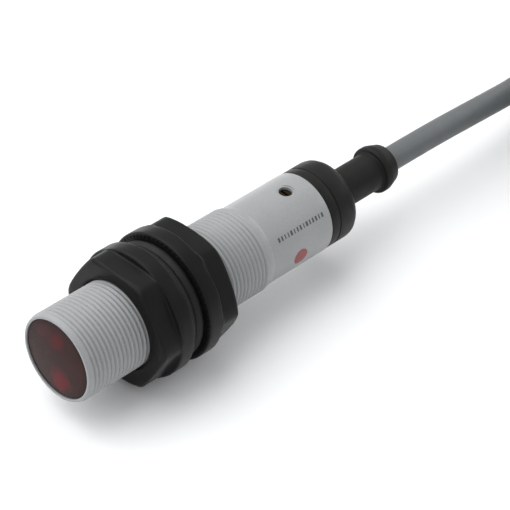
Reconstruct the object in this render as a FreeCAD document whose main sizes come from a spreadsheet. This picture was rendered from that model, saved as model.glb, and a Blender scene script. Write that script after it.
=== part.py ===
"""Cylindrical M18 photoelectric sensor with two fixing nuts, a trimmer and a two metre lead.

Every piece is modelled along one axis. "Along" is the distance from the front face towards the
cable, and the sensor lies on the flanges of its two nuts, with the trimmer hole on top. The cable
leaves towards +Y. A size whose value starts with "=" follows from the sizes above it.
"""

import FreeCAD
import Part
import Sketcher
import math
import os

DIMENSIONS = [
    # the sensor as a whole
    ("overall_length", 88.8, "front face to the end of the strain relief"),
    ("bore_radius", 7.6, "inside of the housing tube"),
    ("slip_clearance", 0.04, "radial gap of a piece that is pushed into the housing"),
    ("face_clearance", 0.05, "gap between faces that turn on each other"),
    # housing
    ("thread_radius", 9.0, "outside of the M18 thread"),
    ("thread_pitch", 1.0, "pitch of the M18 by 1 thread"),
    ("thread_depth", 0.54, "depth of one thread groove"),
    ("crest_width", 0.125, "flat on top of a thread ridge"),
    ("groove_overlap", 0.08, "how far the groove cutter starts above the ridge"),
    ("first_groove", 2.0, "front face to the first thread groove"),
    ("groove_count", 44, "number of thread grooves"),
    ("rim_radius", 8.64, "front edge of the housing"),
    ("rim_length", 1.4, "length of the sloping front rim"),
    ("thread_end", 46.4, "front face to the end of the thread"),
    ("runout_length", 1.7, "cone between the thread and the plain barrel"),
    ("barrel_radius", 8.57, "plain barrel behind the thread"),
    ("barrel_end", 64.4, "front face to the rear edge of the barrel"),
    ("spot_face_radius", 1.8, "flat around the trimmer hole"),
    ("spot_face_depth", 0.2, "depth of that flat"),
    # front window and its seal
    ("window_radius", 8.11, "tinted front window"),
    ("window_recess", 0.25, "front rim to the face of the window"),
    ("window_seat", 1.3, "front rim to the ledge behind the window"),
    ("window_end", 2.8, "front rim to the back of the window's spigot"),
    ("gasket_length", 0.7, "thickness of the window gasket"),
    ("gasket_width", 0.8, "radial width of the window gasket"),
    # optics
    ("carrier_length", 9.5, "length of the optics carrier"),
    ("carrier_wall", 0.5, "edge of a lens to the bore of the housing"),
    ("lens_web", 1.1, "edge of a lens to the sensor's axis"),
    ("lens_radius", "=(bore_radius - carrier_wall - lens_web) / 2", "each lens"),
    ("optic_offset", "=lens_web + lens_radius", "sensor axis to each optical axis"),
    ("lens_thickness", 2.2, "lens along the optical axis"),
    ("lens_curve", 6.5, "radius of the lens's curved face"),
    ("lens_clearance", 0.04, "radial gap of a lens in its seat"),
    ("lens_seat_depth", 2.6, "front of the carrier to the lens ledge"),
    ("lens_ledge", 0.6, "ledge that each lens sits on"),
    ("tunnel_radius", "=lens_radius - lens_ledge", "light tunnel behind each lens"),
    ("tunnel_depth", 5.8, "front of the carrier to the end of the tunnel"),
    ("diode_radius", 1.5, "round body of the emitter and of the receiver"),
    ("diode_clearance", 0.06, "radial gap of a diode in its socket"),
    ("diode_flange", 1.9, "radius of a diode's rear flange"),
    ("diode_flange_length", 0.8, "thickness of a diode's rear flange"),
    ("emitter_length", 2.3, "straight part of the emitter in its socket"),
    ("receiver_length", 1.4, "straight part of the receiver in its socket"),
    ("shield_thickness", 0.3, "metal shield between the two channels"),
    ("shield_edge", 1.4, "edge of the shield to the bore of the housing"),
    ("shield_half_width", "=bore_radius - shield_edge", "half the width of the shield"),
    ("shield_length", 7.0, "shield along the sensor"),
    ("shield_clearance", 0.05, "gap on each face of the shield"),
    # boards and what is soldered on them
    ("board_thickness", 1.0, "both circuit boards"),
    ("board_clearance", 0.3, "edge of a board to the bore"),
    ("main_board_end", 61.2, "front face to the rear edge of the main board"),
    ("solder_gap", 0.1, "chip body above its board"),
    ("pin_thickness", 0.25, "chip pin"),
    # sensitivity trimmer
    ("trimmer_station", 58.8, "front face to the trimmer's axis"),
    ("trimmer_hole_radius", 1.4, "access hole in the barrel"),
    ("trimmer_block", 2.3, "half the side of the trimmer's square body"),
    ("trimmer_block_height", 2.7, "square body above the board"),
    ("trimmer_boss_radius", 1.9, "round boss on the square body"),
    ("trimmer_boss_height", 0.7, "height of that boss"),
    ("trimmer_socket_floor", 0.6, "solid floor under the screw's socket"),
    ("screw_stem_radius", 0.85, "stem of the trimmer screw"),
    ("screw_head_radius", 1.25, "head of the trimmer screw"),
    ("screw_head_length", 2.2, "height of the screw head"),
    ("screw_head_depth", 0.7, "barrel's outside to the top of the screw head"),
    ("screw_slot_width", 0.5, "driver slot"),
    ("screw_slot_depth", 0.7, "depth of the driver slot"),
    ("running_clearance", 0.05, "radial gap of a piece that turns"),
    ("seal_wall", 0.8, "wall of the sleeve around the screw head"),
    ("seal_length", 1.7, "length of that sleeve"),
    ("seal_drop", 0.45, "bore's crown to the top of that sleeve"),
    # rear cap and its seal
    ("cap_radius", 8.5, "rear cap"),
    ("cap_end", 72.3, "front face to the back of the rear cap"),
    ("cap_round", 1.9, "rounding around the back of the rear cap"),
    ("cap_spigot_length", 3.0, "spigot pushed into the barrel"),
    ("cap_wall", 1.7, "wall of the rear cap's spigot"),
    ("cap_back", 1.8, "thickness of the rear cap's back"),
    ("line_width", 0.4, "width of the turned line on the rear cap"),
    ("line_depth", 0.15, "depth of that line"),
    ("line_station", 66.8, "front face to the turned line"),
    ("seal_groove_offset", 1.0, "spigot's end to its seal groove"),
    ("seal_groove_width", 1.0, "width of the seal groove"),
    ("seal_groove_depth", 0.66, "depth of the seal groove"),
    ("seal_section", 0.32, "section radius of the cap's seal ring"),
    # cable gland
    ("cable_radius", 2.6, "outside of the cable"),
    ("cable_clearance", 0.03, "radial gap around the cable"),
    ("neck_radius", 4.0, "neck of the strain relief"),
    ("neck_clearance", 0.03, "radial gap of the neck in the rear cap"),
    ("foot_gap", 0.3, "edge of the strain relief's foot to the rear cap's spigot"),
    ("foot_radius", "=bore_radius - cap_wall - foot_gap", "foot of the strain relief"),
    ("foot_length", 1.9, "thickness of that foot"),
    ("collar_length", 4.1, "collar of the strain relief, along the axis"),
    ("collar_start", "=overall_length - collar_length", "front face to the collar's front"),
    ("collar_radius", 4.98, "collar of the strain relief"),
    ("collar_straight", 1.3, "straight part of the collar"),
    ("collar_end_radius", 4.15, "rear end of the collar"),
    ("collar_round", 0.5, "rounding of the collar's two edges"),
    ("clamp_length", 1.7, "crimp ring on the cable"),
    ("clamp_wall", 0.75, "wall of the crimp ring"),
    ("cable_start", 65.6, "front face to the cut end of the cable's jacket"),
    ("core_radius", 0.6, "one insulated core of the cable"),
    ("core_place", 0.8, "cable's middle to a core's middle, across and up"),
    ("core_gap", 0.4, "between two cores that lie on the main board"),
    ("core_stub", 1.1, "straight core in front of the jacket's end"),
    ("core_overhang", 0.8, "rear edge of the main board to where the cores meet its level"),
    ("core_on_board", 6.5, "each core along the underside of the main board"),
    # fixing nuts and washers
    ("nut_clearance", 0.08, "radial gap between a nut and the thread's ridges"),
    ("nut_across_flats", 24.0, "hexagon"),
    ("hexagon_length", 4.55, "hexagon along the axis"),
    ("flange_radius", 13.3, "round flange, and the turned corners of the hexagon"),
    ("flange_length", 3.4, "flange along the axis"),
    ("flange_edge", 0.35, "bevel on the flange"),
    ("corner_bevel_radius", 12.4, "where the corner bevel meets the hexagon's face"),
    ("corner_bevel_length", 0.6, "corner bevel along the axis"),
    ("nut_bore_bevel", 0.5, "bevel at each end of the nut's bore"),
    ("front_nut_face", 14.25, "front face to the outer face of the front nut"),
    ("rear_nut_face", 34.05, "front face to the outer face of the rear nut"),
    ("front_nut_angle", 26.3, "a corner of the front nut, from the top"),
    ("rear_nut_angle", 27.0, "a corner of the rear nut, from the top"),
    ("washer_radius", 12.0, "outside of each washer"),
    ("washer_clearance", 0.1, "radial gap between a washer and the thread's ridges"),
    ("washer_thickness", 1.85, "each washer"),
    # the lead, folded into a tied hank behind the sensor
    ("hank_lift", 0.5, "thickness of a tie, which the hank lies on"),
    ("hank_layers", 5, "turns on top of each other"),
    ("hank_inner_fold", 11.7, "radius of the opening at each fold"),
    ("hank_middle", 16.5, "middle of the hank, to the right of the sensor's axis"),
    ("hank_near_fold", 66.2, "strain relief's end to the middle of the hank's near fold"),
    ("hank_run", 48.0, "straight run between the folds"),
    ("tie_width", 3.6, "each tie along the run"),
    ("tie_gap", 0.1, "gap between a tie and the turns in it"),
    ("lead_radius", 0.6, "insulated lead at the cable's free end"),
    ("lead_place", 0.85, "cable's middle to a lead's middle, across, at the jacket's end"),
    ("lead_rise", 0.85, "cable's middle to each of the upper two leads"),
    ("lead_fall", 0.75, "cable's middle to each of the lower two leads"),
    ("lead_spacing", 1.212, "between two leads that lie side by side"),
    ("lead_stub", 3.0, "straight lead in front of the jacket's end"),
    ("lead_spread", 10.0, "jacket's end to where the leads lie on the turns"),
    ("tip_radius", 0.35, "tinned end of a lead"),
    ("tip_length", 6.0, "tinned end along the lead"),
    ("lead_length", 36.0, "insulated part of a lead"),
]
# Points of the free cable: across, behind the strain relief, and above the sensor's axis.
CABLE_ROUTE = [
    (0.0, 0.0, 0.0),
    (0.0, 13.6, 0.0),
    (0.1, 29.6, -0.7),
    (0.15, 45.6, -1.4),
    (-2.0, 57.6, -0.6),
    (-3.0, 66.2, 0.2),
]
RUN_SHARE = 0.45
HANK_COLUMNS = 2
LEADS = ("brown_lead", "white_lead", "blue_lead", "black_lead")
CORES = len(LEADS)
OVERSIZE = 3.0
WHOLE_TURN = 360
PIPE_TOLERANCE = 0.01
SAME = 1e-4

doc = FreeCAD.newDocument("photoelectric_sensor")
sheet = doc.addObject("Spreadsheet::Sheet", "Dims")
for row, (alias, value, meaning) in enumerate(DIMENSIONS, 1):
    sheet.set(f"A{row}", meaning)
    sheet.set(f"B{row}", str(value))
    sheet.setAlias(f"B{row}", alias)
doc.recompute()

parts = {}


def named(text):
    """Turns the aliases in an expression into references to the sheet."""
    for alias in sorted((line[0] for line in DIMENSIONS), key=len, reverse=True):
        text = text.replace(alias, "@" + alias[::-1] + "@")
    pieces = text.split("@")
    return "".join("Dims." + p[::-1] if i % 2 else p for i, p in enumerate(pieces))


def size(expression):
    """The value of an expression, in millimetres."""
    return float(sheet.evalExpression(named(expression)))


def bind(thing, **expressions):
    """Binds properties of an object to expressions of the sheet's sizes."""
    for prop, expression in expressions.items():
        thing.setExpression(prop.replace("__", "."), named(expression))


def keep(thing, label):
    """Names a finished sub-part."""
    thing.Label = label
    parts[label] = thing
    return thing


def place(thing, along="0", up="0", across="0"):
    """Puts an object at a distance along the sensor and above its axis."""
    bind(
        thing,
        Placement__Base__x=across,
        Placement__Base__y=f"{along} - overall_length / 2",
        Placement__Base__z=f"flange_radius + {up}",
    )


def new_body(label, along="0", up="0", across="0"):
    body = doc.addObject("PartDesign::Body", label)
    body.AllowCompound = True
    place(body, along, up, across)
    return keep(body, label)


def new_sketch(body, role, offset="0"):
    """A sketch on one of the body's own origin planes, moved along that plane's normal."""
    sketch = body.newObject("Sketcher::SketchObject", body.Label + "_sketch")
    plane = next(f for f in body.Origin.OriginFeatures if f.Role == role)
    sketch.AttachmentSupport = [(plane, "")]
    sketch.MapMode = "FlatFace"
    bind(sketch, AttachmentOffset__Base__z=offset)
    return sketch


def fix_point(sketch, edge, end, across, up):
    """Ties one end of an edge to the sketch's origin."""
    for kind, axis, expression in (("DistanceX", -2, across), ("DistanceY", -1, up)):
        if abs(size(expression)) < 1e-9:
            sketch.addConstraint(Sketcher.Constraint("PointOnObject", edge, end, axis))
            continue
        number = sketch.addConstraint(
            Sketcher.Constraint(kind, -1, 1, edge, end, size(expression))
        )
        sketch.setExpression(f"Constraints[{number}]", named(expression))


def outline(sketch, corners):
    """A closed outline of straight lines, whose corners are pairs of expressions."""
    points = [FreeCAD.Vector(size(a), size(b), 0) for a, b in corners]
    first = sketch.GeometryCount
    for start, end in zip(points, points[1:] + points[:1]):
        sketch.addGeometry(Part.LineSegment(start, end), False)
    for i, (across, up) in enumerate(corners):
        after = first + (i + 1) % len(corners)
        sketch.addConstraint(
            Sketcher.Constraint("Coincident", first + i, 2, after, 1)
        )
        fix_point(sketch, first + i, 1, across, up)


def rectangle(sketch, left, right, low, high):
    outline(sketch, [(left, low), (right, low), (right, high), (left, high)])


def circle(sketch, across, up, radius):
    centre = FreeCAD.Vector(size(across), size(up), 0)
    edge = sketch.addGeometry(
        Part.Circle(centre, FreeCAD.Vector(0, 0, 1), size(radius)), False
    )
    number = sketch.addConstraint(Sketcher.Constraint("Radius", edge, size(radius)))
    sketch.setExpression(f"Constraints[{number}]", named(radius))
    fix_point(sketch, edge, 3, across, up)


def extrude(body, sketch, kind, length, backwards=False):
    """A Pad or Pocket of the sketch. Backwards is against the sketch's normal for a Pad."""
    doc.recompute()
    before = body.Shape.Volume if body.Shape and not body.Shape.isNull() else 0.0
    feature = body.newObject(f"PartDesign::{kind}", f"{body.Label}_{kind.lower()}")
    feature.Profile = sketch
    feature.Reversed = backwards
    bind(feature, Length=length)
    doc.recompute()
    grown = body.Shape.Volume - before
    if (grown > 0) != (kind == "Pad"):
        raise ValueError(f"{feature.Label} changed nothing")
    return feature


def spin(body, corners, kind="Revolution", upright=False):
    """Turns an outline of (along, radius) corners about the sensor's axis, or about a vertical one."""
    sketch = new_sketch(body, "XZ_Plane" if upright else "YZ_Plane")
    outline(sketch, corners)
    feature = body.newObject(f"PartDesign::{kind}", f"{body.Label}_{kind.lower()}")
    feature.Profile = sketch
    feature.ReferenceAxis = (sketch, ["V_Axis" if upright else "H_Axis"])
    feature.Angle = WHOLE_TURN
    return feature


def round_edge(body, along, radius, fillet):
    """Rounds the circular edge that lies at a distance along the body and has the given radius."""
    doc.recompute()
    base = body.Tip
    names = [
        f"Edge{number}"
        for number, edge in enumerate(base.Shape.Edges, 1)
        if isinstance(edge.Curve, Part.Circle)
        and abs(edge.Curve.Radius - size(radius)) < SAME
        and abs(edge.Curve.Center.y - size(along)) < SAME
    ]
    if not names:
        raise ValueError(f"{body.Label} has no such edge")
    feature = body.newObject("PartDesign::Fillet", body.Label + "_fillet")
    feature.Base = (base, names)
    bind(feature, Radius=fillet)


def ring(label, start, end, inner, outer):
    """A plain turned ring or disc."""
    body = new_body(label)
    spin(body, [(start, inner), (start, outer), (end, outer), (end, inner)])
    return body


# ---------------------------------------------------------------- housing and window


def make_housing():
    body = new_body("housing")
    seat = "window_radius + slip_clearance"
    spin(
        body,
        [
            ("0", seat),
            ("0", "rim_radius"),
            ("rim_length", "thread_radius"),
            ("thread_end", "thread_radius"),
            ("thread_end + runout_length", "barrel_radius"),
            ("barrel_end", "barrel_radius"),
            ("barrel_end", "bore_radius"),
            ("window_seat", "bore_radius"),
            ("window_seat", seat),
        ],
    )
    half_top = "(thread_pitch - crest_width) / 2 + groove_overlap * tan(30)"
    half_root = "(thread_pitch - crest_width) / 2 - thread_depth * tan(30)"
    top = "thread_radius + groove_overlap"
    root = "thread_radius - thread_depth"
    groove = spin(
        body,
        [
            (f"first_groove - ({half_top})", top),
            (f"first_groove - ({half_root})", root),
            (f"first_groove + {half_root}", root),
            (f"first_groove + {half_top}", top),
        ],
        kind="Groove",
    )
    doc.recompute()
    rows = body.newObject("PartDesign::LinearPattern", "thread_grooves")
    rows.Originals = [groove]
    rows.Direction = (groove.Profile[0], ["H_Axis"])
    bind(rows, Length="(groove_count - 1) * thread_pitch", Occurrences="groove_count")
    body.Tip = rows
    doc.recompute()
    hole = new_sketch(body, "XY_Plane")
    circle(hole, "0", "trimmer_station", "trimmer_hole_radius")
    extrude(body, hole, "Pocket", "barrel_radius + 1", backwards=True)
    flat = new_sketch(body, "XY_Plane", "barrel_radius - spot_face_depth")
    circle(flat, "0", "trimmer_station", "spot_face_radius")
    extrude(body, flat, "Pocket", "1", backwards=True)


def make_window():
    spin(
        new_body("front_window"),
        [
            ("window_recess", "0"),
            ("window_recess", "window_radius"),
            ("window_seat", "window_radius"),
            ("window_seat", "bore_radius - slip_clearance"),
            ("window_end", "bore_radius - slip_clearance"),
            ("window_end", "0"),
        ],
    )
    ring(
        "window_gasket",
        "window_end",
        "window_end + gasket_length",
        "bore_radius - slip_clearance - gasket_width",
        "bore_radius - slip_clearance",
    )


# ---------------------------------------------------------------- optics

CARRIER_FRONT = "(window_end + gasket_length)"
CARRIER_BACK = "(window_end + gasket_length + carrier_length)"
CHANNELS = ("", "-")  # the emitter above the axis, the receiver below it


def make_carrier():
    body = ring(
        "optics_carrier", CARRIER_FRONT, CARRIER_BACK, "0", "bore_radius - slip_clearance"
    )
    steps = [
        ("lens_radius + lens_clearance", "lens_seat_depth"),
        ("tunnel_radius", "tunnel_depth"),
        ("diode_radius + diode_clearance", "carrier_length + 1"),
    ]
    for radius, depth in steps:
        sketch = new_sketch(body, "XZ_Plane", f"-{CARRIER_FRONT}")
        for sign in CHANNELS:
            circle(sketch, "0", sign + "optic_offset", radius)
        extrude(body, sketch, "Pocket", depth)
    slot = new_sketch(body, "XZ_Plane", f"-{CARRIER_BACK}")
    half = "(shield_thickness / 2 + shield_clearance)"
    side = "(shield_half_width + shield_clearance)"
    rectangle(slot, f"-{side}", side, f"-{half}", half)
    extrude(body, slot, "Pocket", "shield_length", backwards=True)


def make_shield():
    body = new_body("channel_shield")
    sketch = new_sketch(body, "XZ_Plane", f"-{CARRIER_BACK}")
    half = "shield_thickness / 2"
    rectangle(sketch, "-shield_half_width", "shield_half_width", f"-{half}", half)
    extrude(body, sketch, "Pad", "shield_length - shield_clearance")


def cylinder(name, radius, length, along, up="0"):
    """A Part cylinder that lies along the sensor."""
    solid = doc.addObject("Part::Cylinder", name)
    solid.Placement = FreeCAD.Placement(
        FreeCAD.Vector(), FreeCAD.Rotation(FreeCAD.Vector(1, 0, 0), -90)
    )
    bind(solid, Radius=radius, Height=length)
    place(solid, along, up)
    return solid


def ball(name, radius, along, up="0"):
    solid = doc.addObject("Part::Sphere", name)
    bind(solid, Radius=radius)
    place(solid, along, up)
    return solid


def make_lens(label, sign):
    """A lens with a curved front and a flat back."""
    back = f"{CARRIER_FRONT} + lens_seat_depth"
    up = f"{sign}optic_offset" if sign else "optic_offset"
    rim = cylinder(f"{label}_rim", "lens_radius", "lens_thickness", f"{back} - lens_thickness", up)
    front = ball(f"{label}_curve", "lens_curve", f"{back} - lens_thickness + lens_curve", up)
    lens = doc.addObject("Part::MultiCommon", label)
    lens.Shapes = [rim, front]
    keep(lens, label)


def make_diode(label, sign, straight):
    """A round-nosed diode whose flange lies between the carrier and the front board."""
    up = f"{sign}optic_offset" if sign else "optic_offset"
    stem = cylinder(
        f"{label}_stem",
        "diode_radius",
        f"{straight} + diode_flange_length",
        f"{CARRIER_BACK} - {straight}",
        up,
    )
    nose = ball(f"{label}_nose", "diode_radius", f"{CARRIER_BACK} - {straight}", up)
    flange = cylinder(
        f"{label}_flange", "diode_flange", "diode_flange_length", CARRIER_BACK, up
    )
    diode = doc.addObject("Part::MultiFuse", label)
    diode.Shapes = [stem, nose, flange]
    keep(diode, label)


# ---------------------------------------------------------------- circuit boards

BOARD_FRONT = f"({CARRIER_BACK} + diode_flange_length)"
MAIN_BOARD_FRONT = f"({BOARD_FRONT} + board_thickness)"
BOARD_HALF = "(bore_radius - board_clearance)"
# station, side of the board (+1 is the top), offset across, then length, width, height, pins a side
CHIPS = {
    "control_chip": (30.0, 1, 0.0, 7.0, 7.0, 1.4, 8),
    "amplifier_chip": (24.0, -1, 0.0, 5.0, 4.0, 1.5, 4),
    "output_driver_chip": (44.0, -1, 0.0, 5.0, 4.0, 1.5, 4),
}
# (station, offset across) of each small block
CAPACITOR_PLACES = [(20.0, -4.0), (20.0, 0.0), (20.0, 4.0), (39.0, -3.5), (39.0, 3.5), (48.0, 4.5)]
RESISTOR_PLACES = [
    (30.0, -4.0),
    (30.0, -2.0),
    (30.0, 2.0),
    (30.0, 4.0),
    (38.0, -3.0),
    (38.0, 3.0),
    (38.0, 0.0),
]
# side of the board, block length, width and height, then the places of the blocks
BLOCKS = {
    "chip_capacitors": (1, 2.0, 1.25, 1.0, CAPACITOR_PLACES),
    "chip_resistors": (-1, 1.6, 0.8, 0.5, RESISTOR_PLACES),
    "storage_capacitor": (1, 6.0, 3.2, 2.6, [(46.0, 0.0)]),
    "polarity_diodes": (-1, 3.6, 1.8, 1.1, [(50.0, -3.0), (50.0, 3.0)]),
}


def make_boards():
    ring("front_board", BOARD_FRONT, MAIN_BOARD_FRONT, "0", BOARD_HALF)
    body = new_body("main_board")
    sketch = new_sketch(body, "XY_Plane", "-board_thickness / 2")
    side = f"sqrt({BOARD_HALF} ^ 2 - (board_thickness / 2) ^ 2)"
    rectangle(sketch, f"-{side}", side, MAIN_BOARD_FRONT, "main_board_end")
    extrude(body, sketch, "Pad", "board_thickness")


def on_board(label, side):
    """A body that stands on the main board, turned over for its underside."""
    body = new_body(label)
    body.Placement = FreeCAD.Placement(
        body.Placement.Base,
        FreeCAD.Rotation(FreeCAD.Vector(0, 1, 0), 0 if side > 0 else WHOLE_TURN / 2),
    )
    place(body)
    return body


def make_chip(label, station, side, across, length, width, height, pins):
    body = on_board(label, side)
    case = new_sketch(body, "XY_Plane", "board_thickness / 2 + solder_gap")
    rectangle(
        case,
        str(across - width / 2),
        str(across + width / 2),
        str(station - length / 2),
        str(station + length / 2),
    )
    extrude(body, case, "Pad", str(height))
    feet = new_sketch(body, "XY_Plane", "board_thickness / 2")
    pitch = length / pins
    reach = width / 2 + 1
    for i in range(pins):
        middle = station - length / 2 + (i + 0.5) * pitch
        rectangle(
            feet,
            str(across - reach),
            str(across + reach),
            str(middle - pitch / 4),
            str(middle + pitch / 4),
        )
    extrude(body, feet, "Pad", "pin_thickness")


def make_blocks(label, side, length, width, height, places):
    body = on_board(label, side)
    sketch = new_sketch(body, "XY_Plane", "board_thickness / 2")
    for station, across in places:
        rectangle(
            sketch,
            str(across - width / 2),
            str(across + width / 2),
            str(station - length / 2),
            str(station + length / 2),
        )
    extrude(body, sketch, "Pad", str(height))


# ---------------------------------------------------------------- trimmer

TRIMMER_TOP = "(board_thickness / 2 + trimmer_block_height + trimmer_boss_height)"
SOCKET_FLOOR = "(board_thickness / 2 + trimmer_socket_floor)"
HEAD_TOP = "(barrel_radius - screw_head_depth)"


def make_trimmer():
    body = new_body("trimmer_body", "trimmer_station")
    block = new_sketch(body, "XY_Plane", "board_thickness / 2")
    rectangle(block, "-trimmer_block", "trimmer_block", "-trimmer_block", "trimmer_block")
    extrude(body, block, "Pad", "trimmer_block_height")
    boss = new_sketch(body, "XY_Plane", "board_thickness / 2")
    circle(boss, "0", "0", "trimmer_boss_radius")
    extrude(body, boss, "Pad", "trimmer_block_height + trimmer_boss_height")
    socket = new_sketch(body, "XY_Plane", SOCKET_FLOOR)
    circle(socket, "0", "0", "screw_stem_radius + running_clearance")
    extrude(body, socket, "Pocket", f"{TRIMMER_TOP} + 1", backwards=True)

    screw = new_body("trimmer_screw", "trimmer_station")
    foot = f"({SOCKET_FLOOR} + face_clearance)"
    shoulder = f"({HEAD_TOP} - screw_head_length)"
    spin(
        screw,
        [
            ("0", foot),
            ("screw_stem_radius", foot),
            ("screw_stem_radius", shoulder),
            ("screw_head_radius", shoulder),
            ("screw_head_radius", HEAD_TOP),
            ("0", HEAD_TOP),
        ],
        upright=True,
    )
    slot = new_sketch(screw, "XY_Plane", f"{HEAD_TOP} - screw_slot_depth")
    half = "screw_slot_width / 2"
    rectangle(slot, "-screw_head_radius - 1", "screw_head_radius + 1", f"-{half}", half)
    extrude(screw, slot, "Pocket", "screw_slot_depth + 1", backwards=True)

    sleeve = new_body("trimmer_seal", "trimmer_station")
    inner = "(screw_head_radius + running_clearance)"
    outer = f"({inner} + seal_wall)"
    top = "(bore_radius - seal_drop)"
    bottom = f"({top} - seal_length)"
    spin(
        sleeve,
        [(inner, bottom), (outer, bottom), (outer, top), (inner, top)],
        upright=True,
    )


# ---------------------------------------------------------------- rear cap and gland

CAP_INSIDE = "(bore_radius - slip_clearance - cap_wall)"
CAP_FLOOR = "(cap_end - cap_back)"
CABLE_BORE = "(cable_radius + cable_clearance)"
FOOT_FRONT = f"({CAP_FLOOR} - foot_length)"


def make_rear_cap():
    spigot = "bore_radius - slip_clearance"
    spigot_front = "(barrel_end - cap_spigot_length)"
    groove_front = f"{spigot_front} + seal_groove_offset"
    groove_root = f"{spigot} - seal_groove_depth"
    neck_hole = "neck_radius + neck_clearance"
    body = new_body("rear_cap")
    spin(
        body,
        [
            (spigot_front, CAP_INSIDE),
            (spigot_front, spigot),
            (groove_front, spigot),
            (groove_front, groove_root),
            (f"{groove_front} + seal_groove_width", groove_root),
            (f"{groove_front} + seal_groove_width", spigot),
            ("barrel_end", spigot),
            ("barrel_end", "cap_radius"),
            ("line_station - line_width / 2", "cap_radius"),
            ("line_station - line_width / 2", "cap_radius - line_depth"),
            ("line_station + line_width / 2", "cap_radius - line_depth"),
            ("line_station + line_width / 2", "cap_radius"),
            ("cap_end", "cap_radius"),
            ("cap_end", neck_hole),
            (CAP_FLOOR, neck_hole),
            (CAP_FLOOR, CAP_INSIDE),
        ],
    )
    round_edge(body, "cap_end", "cap_radius", "cap_round")
    seal = doc.addObject("Part::Torus", "cap_seal")
    seal.Placement = FreeCAD.Placement(
        FreeCAD.Vector(), FreeCAD.Rotation(FreeCAD.Vector(1, 0, 0), -90)
    )
    bind(
        seal,
        Radius1=f"{spigot} - seal_section",
        Radius2="seal_section",
    )
    place(seal, f"{groove_front} + seal_groove_width / 2")
    keep(seal, "cap_seal")


def make_gland():
    body = new_body("strain_relief")
    spin(
        body,
        [
            (FOOT_FRONT, CABLE_BORE),
            (FOOT_FRONT, "foot_radius"),
            (CAP_FLOOR, "foot_radius"),
            (CAP_FLOOR, "neck_radius"),
            ("collar_start", "neck_radius"),
            ("collar_start", "collar_radius"),
            ("collar_start + collar_straight", "collar_radius"),
            ("overall_length", "collar_end_radius"),
            ("overall_length", CABLE_BORE),
        ],
    )
    round_edge(body, "collar_start", "collar_radius", "collar_round")
    round_edge(body, "overall_length", "collar_end_radius", "collar_round")
    ring(
        "cable_clamp",
        f"{FOOT_FRONT} - clamp_length",
        FOOT_FRONT,
        CABLE_BORE,
        f"{CABLE_BORE} + clamp_wall",
    )
    ring("inner_cable", "cable_start", "overall_length", "0", "cable_radius")


# ---------------------------------------------------------------- nuts and washers


def make_nut(label, face, angle, turned_round):
    """A hexagon with a round flange, on the thread. Its outer face is the hexagon's."""
    body = new_body(label)
    half_turn = FreeCAD.Rotation(FreeCAD.Vector(0, 0, 1), WHOLE_TURN / 2 if turned_round else 0)
    lean = FreeCAD.Rotation(FreeCAD.Vector(0, 1, 0), size(angle))
    body.Placement = FreeCAD.Placement(FreeCAD.Vector(), lean.multiply(half_turn))
    place(body, face)
    hexagon = new_sketch(body, "XZ_Plane")
    corner = "nut_across_flats / 2 / cos(30)"
    flat = "nut_across_flats / 2"
    outline(
        hexagon,
        [
            ("0", corner),
            (flat, f"{corner} / 2"),
            (flat, f"-{corner} / 2"),
            ("0", f"-{corner}"),
            (f"-{flat}", f"-{corner} / 2"),
            (f"-{flat}", f"{corner} / 2"),
        ],
    )
    extrude(body, hexagon, "Pad", "hexagon_length", backwards=True)
    nut_end = "(hexagon_length + flange_length)"
    spin(
        body,
        [
            ("hexagon_length", "0"),
            ("hexagon_length", "flange_radius - flange_edge"),
            ("hexagon_length + flange_edge", "flange_radius"),
            (f"{nut_end} - flange_edge", "flange_radius"),
            (nut_end, "flange_radius - flange_edge"),
            (nut_end, "0"),
        ],
    )
    far = f"(nut_across_flats / 2 + {OVERSIZE})"
    spin(
        body,
        [
            ("0", "corner_bevel_radius"),
            ("corner_bevel_length", "flange_radius"),
            ("hexagon_length", "flange_radius"),
            ("hexagon_length", far),
            ("-1", far),
            ("-1", "corner_bevel_radius"),
        ],
        kind="Groove",
    )
    bore = "(thread_radius + nut_clearance)"
    spin(
        body,
        [
            ("-1", "0"),
            ("-1", f"{bore} + nut_bore_bevel + 1"),
            ("nut_bore_bevel", bore),
            (f"{nut_end} - nut_bore_bevel", bore),
            (f"{nut_end} + 1", f"{bore} + nut_bore_bevel + 1"),
            (f"{nut_end} + 1", "0"),
        ],
        kind="Groove",
    )


def make_washers():
    inner = "thread_radius + washer_clearance"
    front = "(front_nut_face + hexagon_length + flange_length + face_clearance)"
    rear = "(rear_nut_face - hexagon_length - flange_length - face_clearance)"
    ring("front_washer", front, f"{front} + washer_thickness", inner, "washer_radius")
    ring("rear_washer", f"{rear} - washer_thickness", rear, inner, "washer_radius")


# ---------------------------------------------------------------- cable, hank and leads


def tube(points, radius):
    """A round tube along straight runs joined by tangent arcs, and the radii of its arcs."""
    corners = [FreeCAD.Vector(*p) for p in points]
    edges = []
    bends = []
    start = corners[0]
    for before, corner, after in zip(corners, corners[1:], corners[2:]):
        back = before - corner
        ahead = after - corner
        reach = RUN_SHARE * min(back.Length, ahead.Length)
        half_turn = (math.pi - back.getAngle(ahead)) / 2
        bend = reach / math.tan(half_turn)
        back.normalize()
        ahead.normalize()
        inward = (back + ahead).normalize()
        enter = corner + back * reach
        leave = corner + ahead * reach
        middle = corner + inward * (bend / math.cos(half_turn) - bend)
        edges.append(Part.LineSegment(start, enter).toShape())
        edges.append(Part.Arc(enter, middle, leave).toShape())
        bends.append(bend)
        start = leave
    edges.append(Part.LineSegment(start, corners[-1]).toShape())
    path = Part.Wire(edges)
    section = Part.Circle(corners[0], corners[1] - corners[0], radius).toShape()
    solid = path.makePipeShell([Part.Wire([section])], True, False)
    expected = math.pi * radius**2 * path.Length
    if abs(solid.Volume / expected - 1) > PIPE_TOLERANCE:
        raise ValueError("a tube's volume isn't its section times its length")
    return solid, bends, path.Length


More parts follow.
